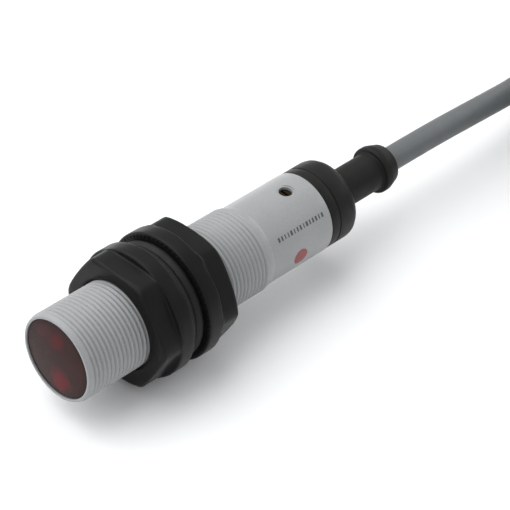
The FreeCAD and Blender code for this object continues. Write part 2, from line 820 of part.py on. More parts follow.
def shaped(label, shape):
    """A sub-part whose shape is set directly, with its Placement given after it."""
    feature = doc.addObject("Part::Feature", label)
    feature.Shape = shape
    feature.Placement = FreeCAD.Placement()
    return keep(feature, label)


def make_inner_wires():
    """Four cores from the cut end of the jacket to the underside of the main board."""
    radius = size("core_radius")
    place_in_cable = size("core_place")
    spacing = size("2 * core_radius + core_gap")
    low = size("flange_radius - board_thickness / 2 - core_radius - face_clearance")
    axis = size("flange_radius")
    jacket = size("cable_start - overall_length / 2")
    stub = size("cable_start - core_stub - overall_length / 2")
    edge = size("main_board_end + core_overhang - overall_length / 2")
    end = size("main_board_end - core_on_board - overall_length / 2")
    wires = []
    for i in range(CORES):
        # the outer two cores leave the jacket low and the inner two leave it high
        high = 1 if 0 < i < CORES - 1 else -1
        side = 1 if i >= CORES / 2 else -1
        start_x = side * place_in_cable
        start_z = axis + high * place_in_cable
        x = (i - (CORES - 1) / 2) * spacing
        route = [(start_x, jacket, start_z), (start_x, stub, start_z), (x, edge, low), (x, end, low)]
        wires.append(tube(route, radius)[0])
    shaped("inner_wires", Part.makeCompound(wires))


def make_cable():
    exit_y = size("overall_length / 2")
    axis = size("flange_radius")
    route = [(across, exit_y + behind, axis + up) for across, behind, up in CABLE_ROUTE]
    solid, bends, length = tube(route, size("cable_radius"))
    shaped("cable", solid)
    print("cable bend radii", [round(b) for b in bends], "length", round(length, 1))


HANK_NEAR = "(overall_length + hank_near_fold)"


def stadium(name, radius, length_along):
    """A block with round ends, as high as the hank."""
    height = "2 * hank_layers * cable_radius"
    lift = "hank_lift - flange_radius"
    block = doc.addObject("Part::Box", name + "_block")
    bind(block, Length=f"2 * {radius}", Width=length_along, Height=height)
    place(block, HANK_NEAR, lift, f"hank_middle - {radius}")
    pieces = [block]
    for end, along in (("near", HANK_NEAR), ("far", f"{HANK_NEAR} + {length_along}")):
        fold = doc.addObject("Part::Cylinder", f"{name}_{end}")
        bind(fold, Radius=radius, Height=height)
        place(fold, along, lift, "hank_middle")
        pieces.append(fold)
    whole = doc.addObject("Part::MultiFuse", name)
    whole.Shapes = pieces
    whole.Refine = True
    return whole


def make_hank():
    """The folded cable as one solid, with a step where its last turn ends, and its two ties."""
    outer_radius = f"(hank_inner_fold + {2 * HANK_COLUMNS} * cable_radius)"
    loop = doc.addObject("Part::Cut", "hank_loop")
    loop.Base = stadium("hank_outside", outer_radius, "hank_run")
    loop.Tool = stadium("hank_opening", "hank_inner_fold", "hank_run")
    step = doc.addObject("Part::Box", "hank_step")
    bind(step, Length="2 * cable_radius + 1", Width="hank_run", Height="2 * cable_radius + 1")
    top = "hank_lift + 2 * (hank_layers - 1) * cable_radius - flange_radius"
    place(step, HANK_NEAR, top, "hank_middle + hank_inner_fold - 1")
    hank = doc.addObject("Part::Cut", "cable_hank")
    hank.Base = loop
    hank.Tool = step
    keep(hank, "cable_hank")
    ties = []
    width = f"({2 * HANK_COLUMNS} * cable_radius + 2 * tie_gap)"
    height = "(2 * hank_layers * cable_radius + 2 * tie_gap)"
    along = f"{HANK_NEAR} + hank_run / 2 - tie_width / 2"
    left_run = f"hank_middle - {outer_radius} - tie_gap"
    right_run = "hank_middle + hank_inner_fold - tie_gap"
    for side, across in (("left", left_run), ("right", right_run)):
        band = doc.addObject("Part::Box", f"tie_{side}_band")
        bind(band, Length=f"{width} + 2 * hank_lift", Width="tie_width")
        bind(band, Height=f"{height} + 2 * hank_lift - tie_gap")
        place(band, along, "-flange_radius", f"{across} - hank_lift")
        inside = doc.addObject("Part::Box", f"tie_{side}_inside")
        bind(inside, Length=width, Width="tie_width + 2", Height=f"{height} - tie_gap")
        place(inside, f"{along} - 1", "hank_lift - flange_radius", across)
        tie = doc.addObject("Part::Cut", f"tie_{side}")
        tie.Base = band
        tie.Tool = inside
        ties.append(tie)
    pair = doc.addObject("Part::Compound", "hank_ties")
    pair.Links = ties
    keep(pair, "hank_ties")


def make_leads():
    """Four leads that lie side by side on the hank's right run, where the jacket ends."""
    radius = size("lead_radius")
    start_y = size("overall_length / 2 + hank_near_fold + hank_run")
    stub_y = start_y - size("lead_stub")
    spread_y = start_y - size("lead_spread")
    end_y = start_y - size("lead_length")
    middle_x = size("hank_middle + hank_inner_fold + cable_radius")
    top_turn = size("hank_lift + (2 * hank_layers - 1) * cable_radius")
    under = size("hank_lift + 2 * (hank_layers - 1) * cable_radius")
    floor = under + radius + size("slip_clearance")
    tips = []
    for i, label in enumerate(LEADS):
        side = -1 if i % 2 else 1
        start_x = middle_x + side * size("lead_place")
        upper = 0 < i < CORES - 1
        start_z = top_turn + (size("lead_rise") if upper else -size("lead_fall"))
        x = middle_x + ((CORES - 1) / 2 - i) * size("lead_spacing")
        route = [
            (start_x, start_y, start_z),
            (start_x, stub_y, start_z),
            (x, spread_y, floor),
            (x, end_y, floor),
        ]
        shaped(label, tube(route, radius)[0])
        tip = doc.addObject("Part::Cylinder", f"{label}_tip")
        tip.Placement = FreeCAD.Placement(
            FreeCAD.Vector(x, end_y, floor),
            FreeCAD.Rotation(FreeCAD.Vector(1, 0, 0), WHOLE_TURN / 4),
        )
        bind(tip, Radius="tip_radius", Height="tip_length")
        tips.append(tip)
    group = doc.addObject("Part::Compound", "lead_tips")
    group.Links = tips
    keep(group, "lead_tips")


def check_and_export():
    doc.recompute()
    for thing in doc.Objects:
        if {"Invalid", "Error"} & set(thing.State):
            raise ValueError(f"{thing.Label} is {thing.State}")
    os.makedirs("parts", exist_ok=True)
    for label, thing in parts.items():
        shape = thing.Shape
        if shape.isNull() or not shape.isValid() or not shape.Solids:
            raise ValueError(f"{label} has no valid solid")
        shape.exportStep(f"parts/{label}.step")
    print(len(parts), "sub-parts")


make_housing()
make_window()
make_carrier()
make_shield()
make_lens("emitter_lens", "")
make_lens("receiver_lens", "-")
make_diode("emitter_diode", "", "emitter_length")
make_diode("receiver_diode", "-", "receiver_length")
make_boards()
for label, values in CHIPS.items():
    make_chip(label, *values)
for label, values in BLOCKS.items():
    make_blocks(label, *values)
make_trimmer()
make_rear_cap()
make_gland()
make_inner_wires()
make_nut("front_nut", "front_nut_face", "front_nut_angle", False)
make_nut("rear_nut", "rear_nut_face", "rear_nut_angle", True)
make_washers()
make_cable()
make_hank()
make_leads()
check_and_export()
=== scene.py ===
"""Threaded photoelectric sensor with two nuts and a two metre lead: looks built around its CAD frame."""
import math
from contextlib import contextmanager

import bmesh
import bpy
from bpy.props import FloatProperty, FloatVectorProperty, IntProperty, PointerProperty
from mathutils import Euler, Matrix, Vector


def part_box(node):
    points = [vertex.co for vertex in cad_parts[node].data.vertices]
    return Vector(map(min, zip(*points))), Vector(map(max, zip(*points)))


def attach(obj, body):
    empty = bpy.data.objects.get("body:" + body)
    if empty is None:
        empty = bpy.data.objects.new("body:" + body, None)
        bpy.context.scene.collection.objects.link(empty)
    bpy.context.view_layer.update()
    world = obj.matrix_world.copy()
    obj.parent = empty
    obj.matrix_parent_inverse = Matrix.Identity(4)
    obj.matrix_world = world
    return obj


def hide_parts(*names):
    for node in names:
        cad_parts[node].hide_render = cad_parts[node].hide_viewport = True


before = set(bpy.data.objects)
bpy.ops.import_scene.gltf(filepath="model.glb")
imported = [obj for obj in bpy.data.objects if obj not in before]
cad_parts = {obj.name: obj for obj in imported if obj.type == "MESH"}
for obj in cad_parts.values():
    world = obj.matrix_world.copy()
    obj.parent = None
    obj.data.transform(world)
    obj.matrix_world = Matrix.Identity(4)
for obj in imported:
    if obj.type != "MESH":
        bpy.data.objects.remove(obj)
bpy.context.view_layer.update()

bl_info = {
    "name": "Photoelectric Sensor",
    "version": (1, 0, 0),
    "blender": (4, 5, 0),
    "location": "View3D > Sidebar > Sensor",
    "description": "Builds a threaded photoelectric sensor around its CAD frame",
    "category": "Object",
}

HOUSING_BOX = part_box("housing")
CAP_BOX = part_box("rear_cap")
RELIEF_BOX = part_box("strain_relief")
TIE_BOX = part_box("hank_ties")
TIPS_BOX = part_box("lead_tips")
FRONT = HOUSING_BOX[0].y
AXIS = (HOUSING_BOX[0].z + HOUSING_BOX[1].z) / 2
MM = 0.001
FULL_TURN = 2 * math.pi
AROUND = 144
STEPS_PER_TURN = 9
JOIN_GAP = 1e-6
SMOOTH_UP_TO = math.radians(38)
BODY = "sensor_body"


# ------------------------------------------------------------------ sizes that a user may change


def length(name, millimetres, description):
    return FloatProperty(
        name=name,
        description=description,
        default=millimetres * MM,
        precision=5,
        subtype="DISTANCE",
        unit="LENGTH",
    )


def angle(name, degrees, description):
    return FloatProperty(
        name=name,
        description=description,
        default=math.radians(degrees),
        subtype="ANGLE",
        unit="ROTATION",
    )


def count(name, number, description):
    return IntProperty(name=name, description=description, default=number, min=1)


def share(name, number, description):
    return FloatProperty(name=name, description=description, default=number)


def colour(name, red, green, blue, description):
    return FloatVectorProperty(
        name=name,
        description=description,
        default=(red, green, blue),
        size=3,
        min=0.0,
        max=1.0,
        subtype="COLOR",
    )


class ThreadSizes(bpy.types.PropertyGroup):
    """The M18 by 1 thread that the housing and both nuts share."""

    radius: length("Major radius", HOUSING_BOX[1].x / MM, "Outside of the thread's ridges")
    pitch: length("Pitch", 1.0, "Along the axis from ridge to ridge")
    depth: length("Depth", 0.34, "From the ridges to the bottom of the groove")
    first_groove: length("First groove", 1.2, "Front face to the first groove")
    narrowness: share("Narrowness", 1.8, "Above 1 narrows the groove and widens the ridge")
    fade: length("Fade", 0.5, "Over which a groove fades in and out")
    nut_gap: length("Nut gap", 0.06, "Radial gap between the housing's thread and a nut's")


class HousingSizes(bpy.types.PropertyGroup):
    """Threaded tube with a plain barrel behind the thread."""

    rim_radius: length("Rim radius", 8.64, "Front edge of the housing")
    rim_length: length("Rim length", 1.0, "Sloping front rim")
    thread_end: length("Thread end", 46.4, "Front face to the end of the thread")
    runout: length("Run-out", 1.7, "Cone between the thread and the barrel")
    barrel_radius: length("Barrel radius", 8.57, "Plain barrel")
    barrel_end: length("Barrel end", (HOUSING_BOX[1].y - FRONT) / MM, "Front face to the barrel's end")
    bore_radius: length("Bore radius", 7.6, "Inside of the tube")
    pocket_radius: length("Pocket radius", 8.15, "Pocket of the front window")
    pocket_depth: length("Pocket depth", 1.3, "Depth of that pocket")
    hole_radius: length("Hole radius", 1.4, "Access hole over the trimmer")
    hole_station: length("Hole station", 58.8, "Front face to that hole")
    spot_radius: length("Spot face radius", 1.8, "Flat around that hole")
    spot_depth: length("Spot face depth", 0.2, "Depth of that flat")
    ring_step: length("Ring step", 0.45, "Between the barrel's rings around that hole")
    slip: length("Slip fit", 0.04, "Radial gap of a piece that slides into the tube")


class NutSizes(bpy.types.PropertyGroup):
    """Hexagon nut with a round flange."""

    across_flats: length("Across flats", 24.0, "Hexagon")
    hexagon_length: length("Hexagon length", 4.55, "Hexagon along the axis")
    flange_radius: length("Flange radius", 13.3, "Flange, and the turned corners")
    flange_length: length("Flange length", 3.4, "Flange along the axis")
    flange_edge: length("Flange edge", 0.35, "Bevel around the flange")
    bevel_radius: length("Corner bevel radius", 12.4, "Where the corner bevel starts")
    bevel_length: length("Corner bevel length", 0.6, "Corner bevel along the axis")
    bore_bevel: length("Bore bevel", 0.5, "Bevel at both ends of the thread")
    bore_edge: length("Bore edge", 0.06, "Rounding of that bevel's outer edge")
    soft_edge: length("Soft edge", 0.22, "Rounding of the moulded edges")
    corner_blend: length("Corner blend", 1.0, "Rounding between the flats and the turned corners")
    root: length("Root", 0.25, "Fillet where the hexagon meets the flange")
    front_corner: angle("Front nut corner", 26.3, "A corner of the front nut, from the top")
    rear_corner: angle("Rear nut corner", 27.0, "A corner of the rear nut, from the top")
    tooth_count: count("Teeth", 72, "Locking teeth around a flange")
    tooth_radius: length("Tooth ring radius", 12.58, "Middle of the ring of teeth")
    tooth_length: length("Tooth length", 0.62, "Tooth across the flange")
    tooth_width: length("Tooth width", 0.34, "Tooth around the flange")
    tooth_height: length("Tooth height", 0.15, "Tooth along the axis")
    tooth_top_width: share("Tooth top width", 0.28, "Width of a tooth's top against its foot")
    tooth_top_length: share("Tooth top length", 0.8, "Length of a tooth's top against its foot")
    tooth_sink: length("Tooth sink", 0.02, "How deep a tooth's foot goes into the flange")
    washer_gap: length("Washer gap", 0.1, "Radial gap between the thread and a washer")
    washer_slope: length("Washer slope", 0.4, "Rounded outer edge of a washer, across")


class CordSizes(bpy.types.PropertyGroup):
    """The lead, folded into a tied hank behind the sensor."""

    diameter: length("Diameter", 5.2, "Outside of the jacket")
    whole: length("Length", 2000.0, "Free length of the lead")
    middle: length("Hank middle", 16.5, "Middle of the hank, across")
    fold_gap: length("Fold distance", 66.2, "Strain relief to the near fold")
    run: length("Run", 48.0, "Straight run between the folds")
    inner_fold: length("Inner fold", 14.3, "Fold radius of the inner column")
    lift: length("Lift", 0.5, "Floor to the lowest turn")
    strand_count: count("Strands", 6, "Outer strands of a tinned tip")
    strand_radius: length("Strand radius", 0.115, "One strand")
    strand_turns: share("Strand turns", 1.1, "Twist of a tip over its length")


class TieSizes(bpy.types.PropertyGroup):
    """Ribbed ties with a locking head, around the hank's two runs."""

    grip: length("Grip", 11.6, "A tie, across the hank")
    corner: length("Corner", 2.4, "Rounding of a tie's corners")
    strap: length("Strap", 0.5, "Thickness of a strap")
    edge: length("Edge", 0.35, "Bevel along a strap and a head")
    sunk: length("Sunk", 0.13, "Strap below the tie's outside, which the ribs reach")
    rib_inset: length("Rib inset", 0.10, "Middle of the ribs below the tie's outside")
    rib_count: count("Ribs", 46, "Ratchet ribs along a tie")
    rib_share: share("Rib share", 0.62, "Part of the strap's width that the ribs take")
    rib_height: length("Rib height", 0.18, "Rib out of the strap")
    rib_length: length("Rib length", 0.45, "Rib along the strap")
    head_reach: length("Head reach", 3.1, "Head into the hank's opening")
    head_side: length("Head side", 0.5, "Head past each side of the strap")
    head_low: length("Head bottom", 12.5, "Floor to the head")
    head_high: length("Head top", 16.5, "Floor to the head's top")
    tail_reach: length("Tail reach", 1.9, "Strap to the middle of the cut tail")
    tail_half: length("Tail half", 0.5, "Half the thickness of the tail")
    tail_inset: length("Tail inset", 0.15, "Tail in from each side of the strap")
    tail_low: length("Tail bottom", 15.5, "Floor to the tail")
    tail_high: length("Tail top", 20.0, "Floor to the tail's end")
    tail_edge: length("Tail edge", 0.2, "Bevel of the tail")


class RearSizes(bpy.types.PropertyGroup):
    """Rear cap with its seal groove and turned line, and the strain relief."""

    wall: length("Cap wall", 1.7, "Wall of the cap's spigot")
    floor: length("Cap floor", 1.8, "Thickness of the cap's end")
    groove_start: length("Groove start", 1.0, "Spigot's end to the seal groove, and its width")
    groove_depth: length("Groove depth", 0.66, "Depth of the seal groove")
    seam: length("Seam", 0.02, "Gap between the barrel and the cap")
    line_station: length("Line station", 2.2, "Barrel's end to the turned line")
    line_width: length("Line width", 0.40, "Turned line along the axis")
    line_depth: length("Line depth", 0.15, "Depth of the turned line")
    line_slope: length("Line slope", 0.05, "Sloping side of the turned line")
    neck_hole: length("Neck hole", 4.03, "Radius of the hole for the neck")
    foot_radius: length("Foot radius", 5.6, "Foot of the strain relief, inside the cap")
    neck_radius: length("Neck radius", 4.0, "Neck of the strain relief")
    collar_radius: length("Collar radius", 4.98, "Collar around the cable")
    collar_length: length("Collar length", 4.1, "Collar along the axis")
    collar_flat: length("Collar flat", 1.5, "Straight part of the collar")
    tail_radius: length("Tail radius", 4.15, "End of the collar")
    cable_hole: length("Cable hole", 2.63, "Radius of the hole for the cable")


class PrintSizes(bpy.types.PropertyGroup):
    """Plain printed bars and a dot on the barrel."""

    start: length("Start", 50.0, "Front face to the first bar")
    end: length("End", 62.8, "Front face to the last bar")
    bar_count: count("Bars", 15, "Printed bars in the row")
    bar_height: length("Bar height", 0.95, "Bars around the barrel")
    bar_length: length("Bar length", 0.40, "Average bar along the barrel")
    row_angle: angle("Row angle", 53.0, "Middle of the row, from the top")
    dot_angle: angle("Dot angle", 94.0, "Middle of the dot, from the top")
    dot_station: length("Dot station", 55.5, "Front face to the dot's middle")
    dot_radius: length("Dot radius", 1.75, "Printed dot")
    thickness: length("Ink thickness", 0.03, "Printed ink")


class FinishColours(bpy.types.PropertyGroup):
    """Colours of the moulded, rubber and printed surfaces."""

    housing: colour("Housing", 0.285, 0.290, 0.295, "Light grey plastic")
    nut: colour("Nuts", 0.0075, 0.0075, 0.0075, "Black plastic of the nuts")
    cap: colour("Rear cap", 0.0095, 0.0093, 0.0086, "Black plastic of the rear cap")
    relief: colour("Strain relief", 0.0100, 0.0096, 0.0088, "Black rubber of the strain relief")
    jacket: colour("Jacket", 0.102, 0.109, 0.112, "Grey cable jacket")
    window: colour("Window", 0.026, 0.009, 0.008, "Smoked red window")
    ink: colour("Ink", 0.055, 0.058, 0.065, "Printed bars")
    dot: colour("Dot", 0.24, 0.045, 0.045, "Printed dot")
    floor: colour("Floor", 0.90, 0.90, 0.90, "Floor under the sensor")


class StageSizes(bpy.types.PropertyGroup):
    """Camera and lights."""

    camera_place: FloatVectorProperty(
        name="Camera place",
        description="Where the camera stands",
        default=(0.21816, -0.25360, 0.30501),
        precision=5,
        subtype="TRANSLATION",
        unit="LENGTH",
    )
    camera_turn: FloatVectorProperty(
        name="Camera turn",
        description="How the camera is turned",
        default=[math.radians(degrees) for degrees in (48.7951, -5.2301, 44.4335)],
        precision=5,
        subtype="EULER",
        unit="ROTATION",
    )
    focal_length: share("Focal length", 163.53, "Millimetres, on a 36 mm wide sensor")
    sky: share("Sky", 0.66, "Even light from all around")
    key_power: share("Key light", 5.2, "Watts of the softbox above")
    fill_power: share("Fill light", 1.1, "Watts of the softbox beside the camera")
    rim_power: share("Rim light", 0.8, "Watts of the strip behind")


SIZE_GROUPS = {
    "sensor_thread": ThreadSizes,
    "sensor_housing": HousingSizes,
    "sensor_nut": NutSizes,
    "sensor_cord": CordSizes,
    "sensor_tie": TieSizes,
    "sensor_rear": RearSizes,
    "sensor_print": PrintSizes,
    "sensor_colours": FinishColours,
    "sensor_stage": StageSizes,
}


# ------------------------------------------------------------------ mesh helpers


def around(along, radius, turn):
    """A point at a distance along the sensor, a radius from its axis and a turn from the top."""
    return Vector((radius * math.sin(turn), FRONT + along, AXIS + radius * math.cos(turn)))


def softened(corners, steps=4):
    """The outline through corners (along, radius, rounding in millimetres), with an arc at each rounding."""
    points = []
    for i, (x, y, millimetres) in enumerate(corners):
        here = Vector((x, y))
        rounding = millimetres * MM
        if rounding <= 0 or i in (0, len(corners) - 1):
            points.append((x, y))
            continue
        back = Vector(corners[i - 1][:2]) - here
        ahead = Vector(corners[i + 1][:2]) - here
        half = back.angle(ahead) / 2
        reach = min(rounding / math.tan(half), 0.48 * back.length, 0.48 * ahead.length)
        radius = reach * math.tan(half)
        back.normalize()
        ahead.normalize()
        centre = here + (back + ahead).normalized() * (radius / math.sin(half))
        first = here + back * reach - centre
        last = here + ahead * reach - centre
        sweep = first.angle_signed(last)
        for k in range(steps + 1):
            turn = -sweep * k / steps
            c, s = math.cos(turn), math.sin(turn)
            points.append((centre.x + c * first.x - s * first.y, centre.y + s * first.x + c * first.y))
    return points


@contextmanager
def edited(mesh):
    """The mesh opened for editing, and written back at the end."""
    work = bmesh.new()
    work.from_mesh(mesh)
    yield work
    work.to_mesh(mesh)
    work.free()


def link(name, data):
    thing = bpy.data.objects.new(name, data)
    bpy.context.scene.collection.objects.link(thing)
    return thing


def smooth(mesh):
    mesh.shade_smooth()
    mesh.set_sharp_from_angle(angle=SMOOTH_UP_TO)


def settled(mesh):
    """Merges doubles, turns the faces outwards and smooths the mesh."""
    with edited(mesh) as work:
        bmesh.ops.remove_doubles(work, verts=work.verts, dist=JOIN_GAP)
        bmesh.ops.dissolve_degenerate(work, dist=JOIN_GAP, edges=work.edges)
        bmesh.ops.recalc_face_normals(work, faces=work.faces)
    smooth(mesh)
    return mesh


def loft(name, rings, closed=False):
    """A mesh through rings of points, where a ring of one point is a pole."""
    mesh = bpy.data.meshes.new(name)
    with edited(mesh) as work:
        rows = [[work.verts.new(point) for point in ring] for ring in rings]
        pairs = list(zip(rows, rows[1:]))
        if closed:
            pairs.append((rows[-1], rows[0]))
        for a, b in pairs:
            n = max(len(a), len(b))
            for i in range(n):
                j = (i + 1) % n
                if len(a) == 1:
                    work.faces.new((a[0], b[j], b[i]))
                elif len(b) == 1:
                    work.faces.new((a[i], a[j], b[0]))
                else:
                    work.faces.new((a[i], a[j], b[j], b[i]))
        bmesh.ops.recalc_face_normals(work, faces=work.faces)
    return mesh


def turned(name, corners, closed=True):
    """A solid of revolution about the sensor's axis."""
    outline = softened([*corners, corners[0]])[:-1] if closed else softened(corners)
    rings = []
    for along, radius in outline:
        points = AROUND if radius > JOIN_GAP else 1
        rings.append([around(along, radius, FULL_TURN * i / AROUND) for i in range(points)])
    return settled(loft(name, rings, closed))


def made_plain(thing):
    """The object as it looks with its modifiers, as a plain mesh without them."""
    bpy.context.view_layer.update()
    graph = bpy.context.evaluated_depsgraph_get()
    mesh = bpy.data.meshes.new_from_object(thing.evaluated_get(graph), depsgraph=graph)
    old = thing.data
    thing.modifiers.clear()
    thing.data = mesh
    mesh.name = thing.name
    if old.users == 0:
        (bpy.data.meshes if isinstance(old, bpy.types.Mesh) else bpy.data.curves).remove(old)
    return thing


def remove(thing):
    data = thing.data
    bpy.data.objects.remove(thing)
    bpy.data.meshes.remove(data)


def set_material(thing, material):
    thing.data.materials.clear()
    thing.data.materials.append(material)


def finish_nodes(materials):
    """Gives each CAD node its material."""
    for node, material in materials.items():
        set_material(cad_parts[node], material)


def dress(thing, material, body, slot, *nodes):
    """Gives a finished piece its material and its body, and hides the CAD nodes that it stands for; slot is
    not used.
    """
    set_material(thing, material)
    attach(thing, body)
    if nodes:
        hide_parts(*nodes)
    return thing


def add_piece(name, mesh, material, body, slot, *nodes):
    return dress(link(name, mesh), material, body, slot, *nodes)


# ------------------------------------------------------------------ Geometry Nodes


class Tree:
    """A Geometry Nodes tree being put together, with short words for its nodes."""

    def __init__(self, name, sizes, takes_mesh=True):
        self.tree = bpy.data.node_groups.new(name, "GeometryNodeTree")
        face = self.tree.interface
        face.new_socket("Geometry", in_out="OUTPUT", socket_type="NodeSocketGeometry")
        if takes_mesh:
            face.new_socket("Geometry", in_out="INPUT", socket_type="NodeSocketGeometry")
        kinds = {int: "NodeSocketInt", Vector: "NodeSocketVector"}
        for label, value in sizes.items():
            kind = kinds.get(type(value), "NodeSocketFloat")
            face.new_socket(label, in_out="INPUT", socket_type=kind)
        face.new_socket("Material", in_out="INPUT", socket_type="NodeSocketMaterial")
        self.sizes = sizes
        self.enter = self.tree.nodes.new("NodeGroupInput")
        self.leave = self.tree.nodes.new("NodeGroupOutput")

    def __getitem__(self, label):
        return self.enter.outputs[label]

    def put(self, kind, *inputs, **settings):
        """A node with its settings and its first inputs; a None leaves an input as it is."""
        node = self.tree.nodes.new(kind)
        named = settings.pop("named", {})
        for key, value in settings.items():
            setattr(node, key, value)
        open_inputs = [s for s in node.inputs if s.enabled]
        for socket, value in list(zip(open_inputs, inputs)) + [
            (next(s for s in node.inputs if s.name == key and s.enabled), value)
            for key, value in named.items()
        ]:
            if value is None:
                continue
            if isinstance(value, bpy.types.NodeSocket):
                self.tree.links.new(value, socket)
            else:
                socket.default_value = value
        return next(s for s in node.outputs if s.enabled)

    def math(self, operation, *inputs):
        return self.put("ShaderNodeMath", *inputs, operation=operation)

    def times(self, first, *others):
        for other in others:
            first = self.math("MULTIPLY", first, other)
        return first

    def vector(self, x, y, z):
        return self.put("ShaderNodeCombineXYZ", x, y, z)

    def around(self, along, radius, turn):
        """A point along the sensor, at a radius from its axis and a turn from the top."""
        across = self.times(radius, self.math("SINE", turn))
        up = self.math("MULTIPLY_ADD", radius, self.math("COSINE", turn), self["Axis"])
        return self.vector(across, along, up)

    def split(self, value):
        node = self.put("ShaderNodeSeparateXYZ", value).node
        return node.outputs[0], node.outputs[1], node.outputs[2]

    def set_place(self, mesh, place):
        return self.put("GeometryNodeSetPosition", mesh, named={"Position": place})

    def join(self, *parts):
        node = self.tree.nodes.new("GeometryNodeJoinGeometry")
        for part in parts:
            self.tree.links.new(part, node.inputs[0])
        return node.outputs[0]

    def end(self, mesh):
        """Ends the tree: realises its instances and sets its material. Ends the tree as
        the export needs it.
        """
        real = self.put("GeometryNodeRealizeInstances", mesh)
        done = self.put("GeometryNodeSetMaterial", real, named={"Material": self["Material"]})
        self.tree.links.new(done, self.leave.inputs[0])
        return self

    def run(self, thing, material):
        """Puts the tree on an object, sets its sizes by identifier and makes the result plain."""
        modifier = thing.modifiers.new(self.tree.name, "NODES")
        modifier.node_group = self.tree
        for item in self.tree.interface.items_tree:
            if item.in_out == "INPUT" and item.name in self.sizes:
                modifier[item.identifier] = self.sizes[item.name]
            elif item.in_out == "INPUT" and item.name == "Material":
                modifier[item.identifier] = material
        return made_plain(thing)


def thread_tree(name, first, last, gap):
    """A helical sleeve from first to last, joined to the ring of the same radius at each end."""
    sizes = bpy.context.scene.sensor_thread
    turns = math.ceil((last - first) / sizes.pitch) + 1
    tree = Tree(
        name,
        {
            "Radius": sizes.radius + gap,
            "Pitch": sizes.pitch,
            "Depth": sizes.depth,
            "Narrowness": sizes.narrowness,
            "First Groove": sizes.first_groove,
            "Start": first,
            "End": last,
            "Front": FRONT,
            "Axis": AXIS,
            "Whole Turns": turns,
            "Fade": sizes.fade,
        },
    )
    rows = tree.math("MULTIPLY_ADD", tree["Whole Turns"], float(STEPS_PER_TURN), 1.0)
    grid = tree.put("GeometryNodeMeshGrid", 1.0, 1.0, AROUND + 1, rows)
    u, v, _ = tree.split(tree.put("GeometryNodeInputPosition"))
    share_around = tree.math("ADD", u, 0.5)
    turn_along = tree.times(tree.math("ADD", v, 0.5), tree["Whole Turns"])
    helix = tree.math("SUBTRACT", tree.math("ADD", turn_along, share_around), 1.0)
    raw = tree.math("MULTIPLY_ADD", helix, tree["Pitch"], tree["Start"])
    along = tree.math("MINIMUM", tree.math("MAXIMUM", raw, tree["Start"]), tree["End"])
    since = tree.math("DIVIDE", tree.math("SUBTRACT", along, tree["First Groove"]), tree["Pitch"])
    phase = tree.times(tree.math("SUBTRACT", since, share_around), math.pi)
    wave = tree.math("POWER", tree.math("ABSOLUTE", tree.math("COSINE", phase)), 2.0)
    groove = tree.math("POWER", wave, tree["Narrowness"])
    fades = [
        tree.put(
            "ShaderNodeMapRange",
            tree.math("ABSOLUTE", tree.math("SUBTRACT", along, edge)),
            0.0,
            tree["Fade"],
            0.0,
            1.0,
            interpolation_type="SMOOTHSTEP",
        )
        for edge in (tree["Start"], tree["End"])
    ]
    radius = tree.math("SUBTRACT", tree["Radius"], tree.times(groove, tree["Depth"], *fades))
    turn = tree.times(share_around, FULL_TURN)
    sleeve = tree.set_place(grid, tree.around(tree.math("ADD", along, tree["Front"]), radius, turn))
    whole = tree.join(tree["Geometry"], sleeve)
    return tree.end(tree.put("GeometryNodeMergeByDistance", whole, named={"Distance": JOIN_GAP * 2}))


def tooth_tree(name, along, facing):
    """A ring of small radial teeth on a flange's inner face, added to the nut."""
    nut = bpy.context.scene.sensor_nut
    tree = Tree(
        name,
        {
            "Teeth": nut.tooth_count,
            "Ring Radius": nut.tooth_radius,
            "Length": nut.tooth_length,
            "Width": nut.tooth_width,
            "Height": nut.tooth_height,
            "Face": FRONT + along,
            "Axis": AXIS,
            "Facing": facing,
            "Sink": nut.tooth_sink,
            "Top Width": nut.tooth_top_width - 1,
            "Top Length": nut.tooth_top_length - 1,
        },
    )
    block = tree.put("GeometryNodeMeshCube", (1.0, 1.0, 1.0), 2, 2, 2)
    x, y, z = tree.split(tree.put("GeometryNodeInputPosition"))
    top = tree.math("GREATER_THAN", z, 0.0)
    slim = tree.math("MULTIPLY_ADD", top, tree["Top Width"], 1.0)
    short = tree.math("MULTIPLY_ADD", top, tree["Top Length"], 1.0)
    rise = tree.math("SUBTRACT", tree.times(top, tree["Height"]), tree["Sink"])
    corner = tree.vector(
        tree.times(x, slim, tree["Width"]),
        tree.times(rise, tree["Facing"]),
        tree.times(y, short, tree["Length"]),
    )
    tooth = tree.set_place(block, corner)
    points = tree.put("GeometryNodePoints", tree["Teeth"])
    index = tree.put("GeometryNodeInputIndex")
    turn = tree.math("DIVIDE", tree.times(index, FULL_TURN), tree["Teeth"])
    placed = tree.set_place(points, tree.around(tree["Face"], tree["Ring Radius"], turn))
    rotation = tree.vector(0.0, turn, 0.0)
    teeth = tree.put("GeometryNodeInstanceOnPoints", placed, named={"Instance": tooth, "Rotation": rotation})
    return tree.end(tree.join(tree["Geometry"], teeth))


# ------------------------------------------------------------------ materials


